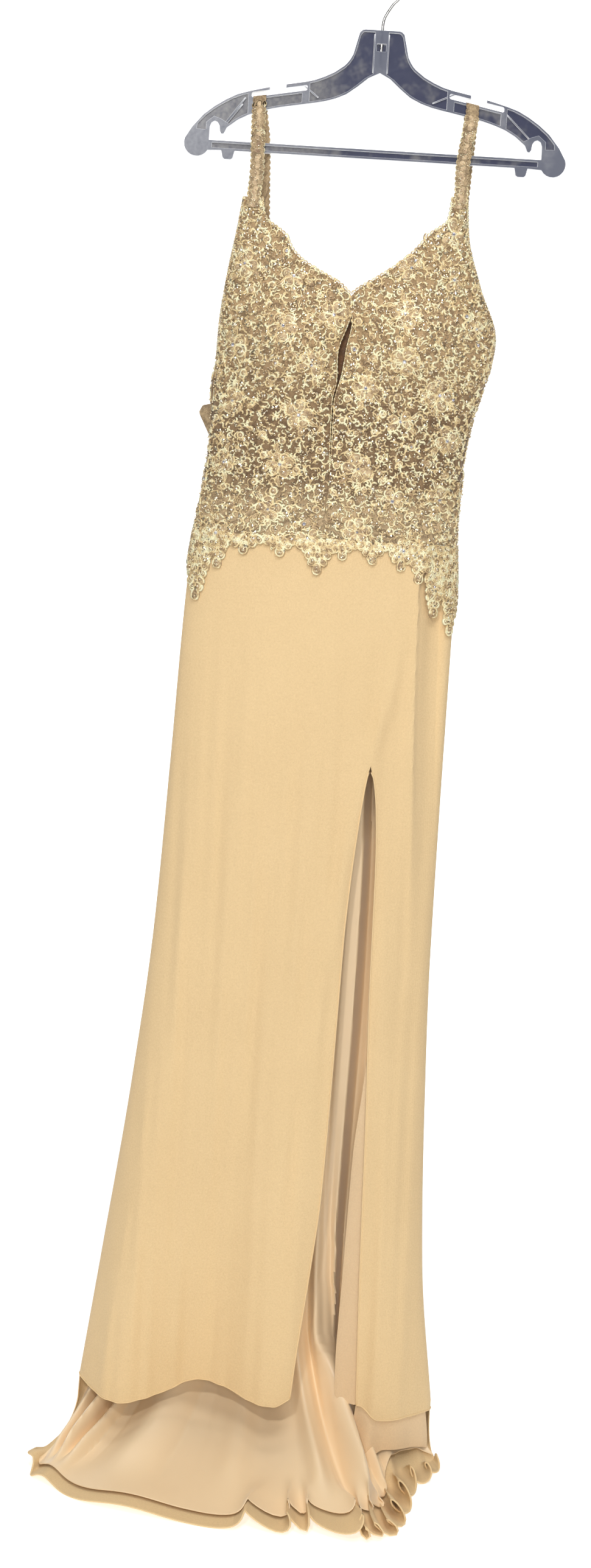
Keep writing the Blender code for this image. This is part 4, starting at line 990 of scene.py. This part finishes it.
def ballShape():
    gold = (1 + math.sqrt(5)) / 2
    points = np.array([(-1, gold, 0), (1, gold, 0), (-1, -gold, 0), (1, -gold, 0), (0, -1, gold),
                       (0, 1, gold), (0, -1, -gold), (0, 1, -gold), (gold, 0, -1), (gold, 0, 1),
                       (-gold, 0, -1), (-gold, 0, 1)])
    faces = [(0, 11, 5), (0, 5, 1), (0, 1, 7), (0, 7, 10), (0, 10, 11), (1, 5, 9), (5, 11, 4),
             (11, 10, 2), (10, 7, 6), (7, 1, 8), (3, 9, 4), (3, 4, 2), (3, 2, 6), (3, 6, 8), (3, 8, 9),
             (4, 9, 5), (2, 4, 11), (6, 2, 10), (8, 6, 7), (9, 8, 1)]
    return points / np.linalg.norm(points[0]), faces


def ringAt(sides, radius=1.0, turn=0.0, height=0.0):
    angles = np.arange(sides) * 2 * math.pi / sides + turn
    return np.stack((radius * np.cos(angles), radius * np.sin(angles), np.full(sides, height)), -1)


def discShape(sides, high, low):
    points = np.concatenate([ringAt(sides), [(0, 0, high), (0, 0, -low)]])
    faces = [(k, (k + 1) % sides, sides) for k in range(sides)]
    return points, faces + [((k + 1) % sides, k, sides + 1) for k in range(sides)]


def stoneShape(sides=8):
    points = np.concatenate([ringAt(sides), ringAt(sides, 0.58, 0.39, 0.42), [(0, 0, 0.46), (0, 0, -0.35)]])
    faces = []
    for k in range(sides):
        n = (k + 1) % sides
        faces += [(k, n, sides + k), (n, sides + n, sides + k), (sides + k, sides + n, 2 * sides),
                  (n, k, 2 * sides + 1)]
    return points, faces


# lace pattern sizes in metres
lace = {"seed": 11, "flowerPitch": 0.050, "flowerRadius": (0.0135, 0.0175), "discGap": 0.021,
        "discRadius": (0.0026, 0.0042), "curlGap": 0.0046, "curlRadius": (0.0018, 0.0044),
        "curlWidth": (0.0020, 0.0036), "cordWidth": (0.0018, 0.0032), "cordHeight": 0.0013,
        "petalHeight": 0.0008, "beads": 2700, "beadSize": (0.0006, 0.00115), "sequins": 3000,
        "sequinSize": (0.0008, 0.0017), "stoneSize": (0.0014, 0.0023), "picot": 0.0052, "curlTries": 50000,
        "discTries": 20000, "flowerTries": 9000}


def spacedSpots(rng, box, inside, gap, tries):
    cell = gap / math.sqrt(2)
    taken, found = {}, []
    spots = rng.uniform((box[0], box[2]), (box[1], box[3]), (tries, 2))
    for x, z in spots[inside(spots)]:
        key = (int(x // cell), int(z // cell))
        near = (taken.get((key[0] + i, key[1] + j)) for i in range(-2, 3) for j in range(-2, 3))
        if any(n is not None and math.hypot(n[0] - x, n[1] - z) < gap for n in near):
            continue
        taken[key] = (x, z)
        found.append((x, z))
    return np.array(found)


def spotOf(drop, turn):
    left, right = leftEdge(drop), rightEdge(drop)
    arc = np.interp(turn, arcTurns, arcLengths)
    x = (left + right) / 2 + arc * (right - left) / unrolled["width"]
    return np.stack(np.broadcast_arrays(x, drop), -1)


def turned(points, angle, centre):
    c, s = math.cos(angle), math.sin(angle)
    x, z = points[:, 0], points[:, 1]
    return np.stack((centre[0] + x * c - z * s, centre[1] + x * s + z * c), -1)


def heading(angle):
    return np.array((math.cos(angle), math.sin(angle)))


def arcOf(radius, angles):
    return np.stack((radius * np.cos(angles), radius * np.sin(angles)), -1)


def lobe(long, wide, tip=0.0, length=12):  # from its foot at 0 out along x
    t = np.arange(length) * 2 * math.pi / length
    across = wide * np.sin(t) * (1 + 0.24 * np.cos(t)) * (1 - tip * np.maximum(np.cos(t), 0) ** 2)
    return np.stack((long * (0.5 + 0.5 * np.cos(t)), across), -1)


def crescent(long, wide, bend):
    t = np.concatenate([np.linspace(0, 1, 7), np.linspace(1, 0, 7)[1:-1]])
    sign = np.where(np.arange(12) < 7, 1.0, -1.0)
    return np.stack((long * t, bend * np.sin(math.pi * t) + sign * wide * np.sin(math.pi * t) ** 0.8), -1)


def curlStroke(rng, radius):
    kind = rng.integers(5)
    t = np.linspace(0.0, 1.0, 7)
    if kind < 2:
        sweep = rng.uniform(2.4, 3.8)
        return arcOf(radius, sweep * (t - 0.5))
    if kind == 2:
        sweep = rng.uniform(4.6, 5.6)
        return arcOf(radius * (1.15 - 0.6 * t), sweep * t)
    if kind == 3:
        return np.stack(((t - 0.5) * radius * 2.6, np.sin(2 * math.pi * t) * radius * 0.6), -1)
    sweep = rng.uniform(1.3, 2.0)
    return arcOf(1.7 * radius, sweep * (t - 0.5))


# one piece of lace: gathers motifs, then builds each kind as one mesh
class LaceWork:
    def __init__(self, rng):
        self.rng = rng
        self.strokes, self.strokeWidths = [], []
        self.rings, self.ringWidths, self.pads = [], [], []
        self.beads, self.beadSizes, self.stones = [], [], []

    def width(self):
        return self.rng.uniform(*lace["cordWidth"])

    def stroke(self, points, width=None):
        self.strokes.append(points)
        self.strokeWidths.append(width or self.width())

    def motif(self, outline, width=None):
        self.rings.append(outline)
        self.ringWidths.append(width or self.width())
        self.pads.append(outline)

    def bead(self, spot, size=None):
        self.beads.append(spot)
        self.beadSizes.append(size or self.rng.uniform(0.0008, 0.0012))

    def petal(self, foot, angle, long, wide, tip=0.0):
        self.motif(turned(lobe(long, wide, tip), angle, foot))
        t = np.linspace(-1.1, 1.1, 7)
        arc = np.stack((long * (0.5 + 0.26 * np.cos(t)), wide * 0.6 * np.sin(t)), -1)
        self.stroke(turned(arc, angle, foot), 0.0011)
        self.bead(np.array(foot) + 0.42 * long * heading(angle))

    def flower(self, centre, radius):
        rng = self.rng
        count = int(rng.integers(5, 7))
        spin = rng.uniform(0, 6.28)
        for k in range(count):
            if rng.random() < 0.08:
                continue
            angle = spin + (k + rng.normal(0, 0.08)) * 2 * math.pi / count
            foot = centre + 0.12 * radius * heading(angle)
            self.petal(foot, angle, radius * rng.uniform(0.78, 0.98), radius * rng.uniform(1.75, 2.1) / count)
        for k in range(8):
            self.bead(centre + 0.0024 * heading(k * 0.785), 0.0008)
        self.stones.append(centre)
        return spin, count

    def leaf(self, foot, angle, long):
        bend = self.rng.choice((-1.0, 1.0)) * self.rng.uniform(0.0015, 0.0035)
        wide = self.rng.uniform(0.0022, 0.0032)
        self.motif(turned(crescent(long, wide, bend), angle, foot), 0.0013)
        t = np.linspace(0.15, 0.85, 7)
        self.stroke(turned(np.stack((long * t, bend * np.sin(math.pi * t)), -1), angle, foot), 0.0009)

    def disc(self, centre, radius):
        self.motif(centre + arcOf(radius, np.arange(12) * math.pi / 6))
        self.bead(centre)

    def picots(self, path, outward, reach=1.0):  # small loops along an edge
        lengths = runOf(path)

        def spotAt(at):
            return np.array([np.interp(at, lengths, path[:, axis]) for axis in (0, 1)])

        count = max(1, int(lengths[-1] / lace["picot"]))
        t = np.linspace(-0.2, math.pi + 0.2, 7)
        for k in range(count):
            at = (k + 0.5) / count * lengths[-1]
            spot = spotAt(at)
            near = spotAt(min(at + 0.002, lengths[-1])) - spotAt(max(at - 0.002, 0))
            angle = math.atan2(near[1], near[0])
            loop = np.stack((0.0025 * np.cos(t), outward * reach * 0.0021 * np.sin(t)), -1)
            self.stroke(turned(loop, angle, spot), 0.0016)
            self.bead(spot, 0.0010)

    def tip(self, middle, deep, half, wanted):  # a pointed motif below the hem line
        rng = self.rng
        low = cut["laceLine"] + deep
        rows = max(1, int(round((deep - 0.004) / 0.0078)))
        for k in range(rows):
            z = cut["laceLine"] - 0.006 + (deep - 0.006) * k / rows
            spread = half * (1.06 - 0.92 * k / rows)
            count = max(1, int(round(2 * spread / 0.0085)))
            for j in range(count + 1):
                share = j / count * 2 - 1
                foot = wanted(middle + share * (spread - 0.004), z)
                angle = math.pi / 2 - share * 0.75 + rng.normal(0, 0.12)
                self.petal(foot, angle, rng.uniform(0.0090, 0.0108), rng.uniform(0.0032, 0.0040), -0.1)
        self.petal(wanted(middle, low - 0.0135), math.pi / 2, 0.0130, 0.0043, -0.25)
        self.bead(wanted(middle, low - 0.0045), 0.0012)

    def build(self, word, face, outward, inside, box, share):
        rng, high = self.rng, lace["cordHeight"]
        gap = lace["curlGap"] / math.sqrt(share)
        curls = spacedSpots(rng, box, lambda s: inside(s, 0.0028), gap, lace["curlTries"])
        spins = rng.uniform(0, 6.28, len(curls))
        shapes = [turned(curlStroke(rng, rng.uniform(*lace["curlRadius"])), spin, spot)
                  for spin, spot in zip(spins, curls)]
        widths = rng.uniform(*lace["curlWidth"], len(shapes))
        joined("laceCurls" + word, [cordParts(shapes, widths, high, face, False)], goldCord)
        cords = [cordParts(self.strokes, self.strokeWidths, high * 1.25, face, False),
                 cordParts(self.rings, self.ringWidths, high * 1.35, face, True)]
        joined("laceCords" + word, cords, goldCord)
        pads = petalParts(self.pads, lace["petalHeight"], face)
        joined("lacePads" + word, [pads], goldPetal, 70)

        def scattered(kind):
            spots = rng.uniform((box[0], box[2]), (box[1], box[3]), (int(lace[kind] * share * 3), 2))
            return spots[inside(spots, 0.001)][: int(lace[kind] * share)]

        spots = scattered("beads")
        beads = np.concatenate([np.array(self.beads), spots])
        sizes = np.concatenate([np.array(self.beadSizes), rng.uniform(*lace["beadSize"], len(spots))])
        pearls = studParts(beads, sizes, face, outward, *ballShape(), 1.3)
        joined("laceBeads" + word, [pearls], pearlBead)
        spots = scattered("sequins")
        sizes = rng.uniform(*lace["sequinSize"], len(spots))
        sequins = studParts(spots, sizes, face, outward, *discShape(6, 0.30, 0.10), 0.75, 0.21, rng)
        joined("laceSequins" + word, [sequins], goldSequin, 10)
        if self.stones:
            stones = np.array(self.stones)
            sizes = rng.uniform(*lace["stoneSize"], len(stones))
            glass = studParts(stones, sizes, face, outward, *stoneShape(), 0.75, 0.15, rng)
            joined("laceStones" + word, [glass], clearStone, 10)


def spreadMotifs(work, inside, box, share):
    rng = work.rng
    flowers = spacedSpots(rng, box, lambda s: inside(s, 0.0165), lace["flowerPitch"], lace["flowerTries"])
    for centre in flowers:
        radius = rng.uniform(*lace["flowerRadius"])
        spin, count = work.flower(centre, radius)
        for k in range(count):
            if rng.random() < 0.75:
                angle = spin + (k + 0.5) * 2 * math.pi / count
                foot = centre + radius * rng.uniform(0.62, 0.85) * heading(angle)
                long = rng.uniform(0.0105, 0.0150)
                end = foot + long * heading(angle)
                if inside(end, 0.001):
                    work.leaf(foot, angle + rng.uniform(-0.5, 0.5), long)
    gap = lace["discGap"] / math.sqrt(share)
    gaps = spacedSpots(rng, box, lambda s: inside(s, 0.005), gap, lace["discTries"])
    for centre in gaps:
        if np.hypot(*(flowers - centre).T).min() > 0.0175:
            work.disc(centre, rng.uniform(*lace["discRadius"]))
    for spot in gaps[rng.random(len(gaps)) < 0.07]:
        work.stones.append(spot)


def hemTips(work, tips, xs, wanted):
    for middle, deep, half in tips:
        work.tip(middle, deep, half, wanted)
    for x in xs:
        foot = wanted(x, cut["laceLine"] - 0.007)
        work.petal(foot, math.pi / 2 + work.rng.normal(0, 0.3), work.rng.uniform(0.0085, 0.0105), 0.0042)


def frontSpot(x, drop):
    return spotOf(drop, turnAt(drop, x))


def frontLace():
    work = LaceWork(np.random.default_rng(lace["seed"]))
    box = (-0.205, 0.17, 0.24, 0.74)
    spreadMotifs(work, insideFront, box, 1.0)
    hemTips(work, frontTips, np.arange(-0.174, 0.118, 0.0088), frontSpot)
    for side, top in ((-1, cut["tabTops"][0]), (1, cut["tabTops"][1])):
        neck = np.linspace(top, 0.3580, 60)
        work.picots(frontSpot(frontInnerX(neck, side), neck), side)
        hole = np.linspace(0.3600, 0.5570, 60)
        work.picots(frontSpot(frontInnerX(hole, side), hole), side, 0.25)
        arm = np.linspace(top, cut["underarm"], 50)
        work.picots(spotOf(arm, np.full(50, 0.03 if side < 0 else math.pi - 0.03)), -side, 0.8)
    work.build("Front", frontFace, -1, insideFront, box, 1.0)


def backLace():
    work = LaceWork(np.random.default_rng(lace["seed"] + 40))
    box = (-0.205, 0.15, 0.43, 0.73)
    spreadMotifs(work, insideBack, box, 0.6)
    hemTips(work, backTips, np.arange(-0.165, 0.110, 0.0088), frontSpot)
    turn = np.linspace(0.05, math.pi - 0.05, 160)
    work.picots(spotOf(scoopTop(turn), turn), -1.0)
    work.build("Back", backFace, 1, insideBack, box, 0.6)


frontLace()
backLace()


# net behind the open keyhole; its dark brown is painted shade of the hollow behind it
def keyholeShadeSheet():
    share, drop = grid(np.linspace(-1, 1, 13), np.linspace(0.364, 0.566, 50))
    x = centreFront(drop) + share * 0.0125
    return frontPoint(drop, turnAt(drop, x), -0.0016 - 0.0042 * (1 - share ** 2))


netPiece = clothShell("keyholeShadeSheet", keyholeShadeSheet(), 0.0006, -1, keyholeShadeNet)
print("lace made")


# plain fold that stands out under the left arm
def sideFold():
    u, v = evenGrid((9, 11))
    drop = 0.4865 + 0.041 * v + 0.004 * u * (1 - v)
    reach = 0.0185 * u * np.interp(v, (0.0, 0.22, 1.0), (0.80, 1.0, 0.05))
    seat = frontPoint(drop, np.full_like(drop, 0.10), 0.0005)
    depth = seat[..., 1] + 0.004 + 0.010 * u - 0.004 * np.sin(math.pi * v) * u
    return np.stack((seat[..., 0] - reach, depth, -drop), -1)


sideFoldPiece = clothShell("bodiceSideFold", sideFold(), 0.0010, -1, strapMesh)
print("side fold made")


# straps
straps = {"half": 0.0078, "thick": 0.0013, "loop": 0.0062, "slope": 0.184, "hangerThick": 0.0090}


def slotFloor(x):
    return 0.1357 + straps["slope"] * (abs(x) - 0.084)


def strapSeat(drop, x, facing):
    point = frontPoint if facing < 0 else backPoint
    seat = point(np.array(drop), turnAt(np.array(drop), np.array(x)), cut["laceLift"])
    seat[1] += facing * 0.0025
    return tuple(seat)


def strapRoute(side):
    topX = -0.1330 if side < 0 else 0.1065
    sole = slotFloor(topX)
    beside, above = straps["hangerThick"] / 2 + 0.0014, 0.00155
    if side < 0:
        front = [strapSeat(0.2680, -0.1300, -1), strapSeat(0.2590, -0.1302, -1), (-0.1312, -0.0120, -0.225),
                 (-0.1325, -0.0080, -0.185), (topX, -beside, -sole - 0.011)]
        back = [(-0.1318, beside, -sole - 0.011), (-0.1262, 0.0085, -0.195), (-0.1225, 0.0130, -0.270),
                (-0.1150, 0.0195, -0.370), strapSeat(0.4780, -0.1050, 1), strapSeat(0.4920, -0.1045, 1)]
    else:
        front = [strapSeat(0.2560, 0.0968, -1), strapSeat(0.2470, 0.0972, -1), (0.0995, -0.0120, -0.215),
                 (0.1035, -0.0080, -0.175), (topX, -beside, -sole - 0.011)]
        back = [(0.1062, beside, -sole - 0.011), (0.1045, 0.0085, -0.195), (0.1010, 0.0130, -0.270),
                (0.0930, 0.0195, -0.370), strapSeat(0.4780, 0.0720, 1), strapSeat(0.4920, 0.0715, 1)]
    over = [(topX, -beside, -sole - 0.0005), (topX, -beside + 0.00045, -sole + 0.0009),
            (topX, -beside + 0.0017, -sole + above), (topX, 0.0, -sole + above),
            (topX, beside - 0.0017, -sole + above), (topX, beside - 0.00045, -sole + 0.0009),
            (topX, beside, -sole - 0.0005)]
    return np.array(front + over + back, float), len(front), len(over)


def makeStrap(side, word):
    route, before, over = strapRoute(side)
    lengths = runOf(route)
    tracks = [Track(list(zip(lengths, route[:, axis]))) for axis in range(3)]
    crossing = (lengths[before] + lengths[before + over - 1]) / 2

    def strapFace(spots, height=0.0):  # spots are across and along the strap
        along = np.clip(spots[..., 1], 2e-4, lengths[-1] - 2e-4)
        middle = np.stack([track(along) for track in tracks], -1)
        ahead = np.stack([track(along + 1e-4) - track(along - 1e-4) for track in tracks], -1)
        nearSlot = 1 - ease(np.abs(along - crossing), 0.012, 0.045)
        across = unit(np.stack(np.broadcast_arrays(1.0, 0.0, -side * straps["slope"] * nearSlot), -1))
        out = unit(np.cross(ahead, across))
        return middle + across * spots[..., :1] + out * (straps["thick"] / 2 + height)

    rows = np.unique(np.concatenate([np.linspace(0, lengths[-1], 230),
                                     np.linspace(lengths[before - 1], lengths[before + over], 40)]))
    scallop = 0.0010 * np.abs(np.sin(math.pi * rows / straps["loop"]))
    across = np.linspace(-1, 1, 7)[:, None] * (straps["half"] - 0.0011 + scallop[None, :])
    spots = np.stack(np.broadcast_arrays(across, rows[None, :]), -1)
    ribbon = clothShell("strapRibbon" + word, strapFace(spots), straps["thick"], 1, strapMesh,
                        "strap_" + word.lower())
    rng = np.random.default_rng(lace["seed"] + 70 + side)
    opens, widths, rings, beadSpots, beadSizes = [], [], [], [], []
    t = np.linspace(0, math.pi, 7)
    for k in range(int(lengths[-1] / straps["loop"])):
        z = (k + 0.5) * straps["loop"]
        if abs(z - crossing) < 0.0155:
            continue
        for sign in (-1, 1):
            loop = np.stack((sign * (0.0052 + 0.0022 * np.sin(t)), z - 0.0029 * np.cos(t)), -1)
            opens.append(loop)
            widths.append(0.0020)
        angle = rng.uniform(-0.5, 0.5) + (0.9 if k % 2 else 2.2)
        rings.append(turned(lobe(0.0072, 0.0024, -0.1), angle, (-0.0030 * math.cos(angle), z - 0.003)))
        for _ in range(2):
            curl, spin = curlStroke(rng, 0.0022), rng.uniform(0, 6.28)
            opens.append(turned(curl, spin, (rng.uniform(-0.004, 0.004), z + rng.uniform(-0.003, 0.003))))
            widths.append(0.0013)
        for _ in range(3):
            beadSpots.append((rng.uniform(-0.006, 0.006), z + rng.uniform(-0.003, 0.003)))
            beadSizes.append(rng.uniform(0.0006, 0.00095))
    cords = [cordParts(opens, widths, 0.0010, strapFace, False),
             cordParts(rings, [0.0013] * len(rings), 0.0010, strapFace, True)]
    joined("strapCords" + word, cords, goldCord)
    joined("strapPads" + word, [petalParts(rings, 0.0006, strapFace)], goldPetal, 70)
    pearls = studParts(np.array(beadSpots), beadSizes, strapFace, 1, *ballShape(), 0.8)
    joined("strapBeads" + word, [pearls], pearlBead)
    return ribbon, float(lengths[-1])


strapPieces = [makeStrap(-1, "Left"), makeStrap(1, "Right")]
print("straps made", [round(length, 3) for _, length in strapPieces])


# hanger keeps its solid, with softened edges
hanger = {"bevel": 0.0007}
body = bpy.data.objects["hanger_body"]
body.data.materials.clear()
body.data.materials.append(clearPlastic)
soften = body.modifiers.new("softEdges", "BEVEL")
soften.width = hanger["bevel"]
soften.segments = 2
soften.limit_method = "ANGLE"
soften.angle_limit = math.radians(40)

ribs = {"radius": 0.0009, "front": -0.0036, "runs": (
    ((-0.1488, -0.1471), (-0.1731, -0.1800)), ((-0.1515, -0.1542), (-0.1755, -0.1850)),
    ((-0.0832, -0.1308), (-0.0673, -0.1423)), ((0.0888, -0.1285), (0.0611, -0.1412)),
    ((0.1439, -0.1473), (0.1740, -0.1750)), ((0.1395, -0.1560), (0.1450, -0.1490)),
    ((-0.0080, -0.0700), (-0.0080, -0.1120)), ((0.0080, -0.0700), (0.0080, -0.1120)))}
ribRoutes = [np.array([(x + (endX - x) * s, ribs["front"], z + (endZ - z) * s) for s in np.linspace(0, 1, 4)])
             for (x, z), (endX, endZ) in ribs["runs"]]
joined("hangerRibs", [edgeTube(ribRoutes, ribs["radius"])], clearPlastic)
# a thin sheet of the dark plastic across the socket window: painted shade where the window shows through
x, z = grid(np.linspace(-0.0060, 0.0060, 4), np.linspace(-0.0794, -0.0892, 4))
shadePlate = np.stack((x, np.full_like(x, 0.0018), z), -1)
clothShell("socketShadeBacking", shadePlate, 0.0006, -1, clearPlastic)

wire = {"radius": 0.0016, "inner": 0.0185, "foot": 0.1010}


def makeHook():
    radius = wire["inner"] + wire["radius"]
    route = [(0.0, wire["foot"]), (0.0, 0.0850), (0.0, 0.0620), (0.0006, 0.0540), (0.0032, 0.0478)]
    for step in range(22):
        angle = math.radians(-58 + 12.1 * step)
        route.append((radius * math.cos(angle), wire["inner"] - radius * math.sin(angle)))
    drawing = bpy.data.curves.new("hookWire", "CURVE")
    drawing.dimensions = "3D"
    drawing.bevel_depth = wire["radius"]
    drawing.bevel_resolution = 5
    drawing.use_fill_caps = True
    drawing.resolution_u = 6
    spline = drawing.splines.new("NURBS")
    spline.points.add(len(route) - 1)
    for point, (x, drop) in zip(spline.points, route):
        point.co = (x, 0.0, -drop, 1.0)
    spline.order_u = 3
    spline.use_endpoint_u = True
    made = linked("hookWire", drawing)
    drawing.materials.append(hookSteel)
    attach(made, "root")
    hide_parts("hanger_hook")


makeHook()
print("hanger dressed")


# floor, backdrop and lights
studio = {"floorDrop": 1.7462, "wallY": 14.0, "bend": 1.0, "nearY": -8.0, "wallTop": 9.0, "halfWidth": 14.0,
          "pale": (0.93, 0.93, 0.935, 1), "paler": (0.955, 0.955, 0.96, 1), "far": (2.3, 2.3, 2.3, 1),
          "glow": 0.45, "world": 0.10, "lights": (
              ("keyLight", (-0.52, -2.75, 0.42), (-0.05, 0.0, -0.95), 22.0, 0.16),
              ("frontLight", (0.02, -2.95, -0.42), (-0.02, 0.0, -0.95), 22.4, 0.45),
              ("wallLight", (0.0, 0.5, 1.9), (0.0, 2.3, -1.2), 60.0, 2.4),
              ("topLight", (0.15, -1.5, 0.8), (0.0, -0.1, -1.7), 16.0, 0.9))}


def makeStudio():
    made = Finish("pale floor", {"Roughness": 0.8, "Specular IOR Level": 0.2,
                                 "Emission Strength": studio["glow"]})
    spot = made.place("Object")
    grain = made.noise(spot, 3.0, 3.0)
    depth = made.split(spot, "Y")
    near = made.blend(made.between(depth, -0.85, -0.35), (0.0, 0.0, 0.0, 1), (1.0, 1.0, 1.0, 1))
    made.feed("Emission Color", made.blend(made.between(depth, 0.9, 2.6), near, studio["far"]))
    made.feed("Base Color", made.blend(grain, studio["pale"], studio["paler"]))
    wall, ground, bend = studio["wallY"], -studio["floorDrop"], studio["bend"]
    profile = [(studio["nearY"], ground), (wall - bend, ground)]
    for step in range(1, 13):
        angle = math.radians(7.5 * step)
        profile.append((wall - bend + bend * math.sin(angle), ground + bend - bend * math.cos(angle)))
    profile.append((wall, studio["wallTop"]))
    points = np.array([(side * studio["halfWidth"], y, z) for side in (-1, 1) for y, z in profile])
    count = len(profile)
    k = np.arange(count - 1)
    faces = np.stack((k, k + count, k + count + 1, k + 1), -1)
    data = bpy.data.meshes.new("paleFloor")
    data.from_pydata([tuple(p) for p in points], [], [tuple(int(i) for i in f) for f in faces])
    data.materials.append(made.material)
    data.shade_smooth()
    floor = linked("paleFloor", data)
    world = bpy.data.worlds.new("studioAir")
    world.use_nodes = True
    world.node_tree.nodes["Background"].inputs["Color"].default_value = (1.0, 1.0, 1.0, 1.0)
    world.node_tree.nodes["Background"].inputs["Strength"].default_value = studio["world"]
    bpy.context.scene.world = world
    for name, place, target, power, size in studio["lights"]:
        data = bpy.data.lights.new(name, "AREA")
        data.energy = power
        data.shape = "DISK"
        data.size = size
        ahead = unit(np.array(target) - np.array(place))
        right = unit(np.cross(ahead, (0, 0, 1)))
        standAt(linked(name, data), right, np.cross(right, ahead), ahead, place)
    bpy.context.scene.view_settings.view_transform = "Standard"


makeStudio()
print("studio made")
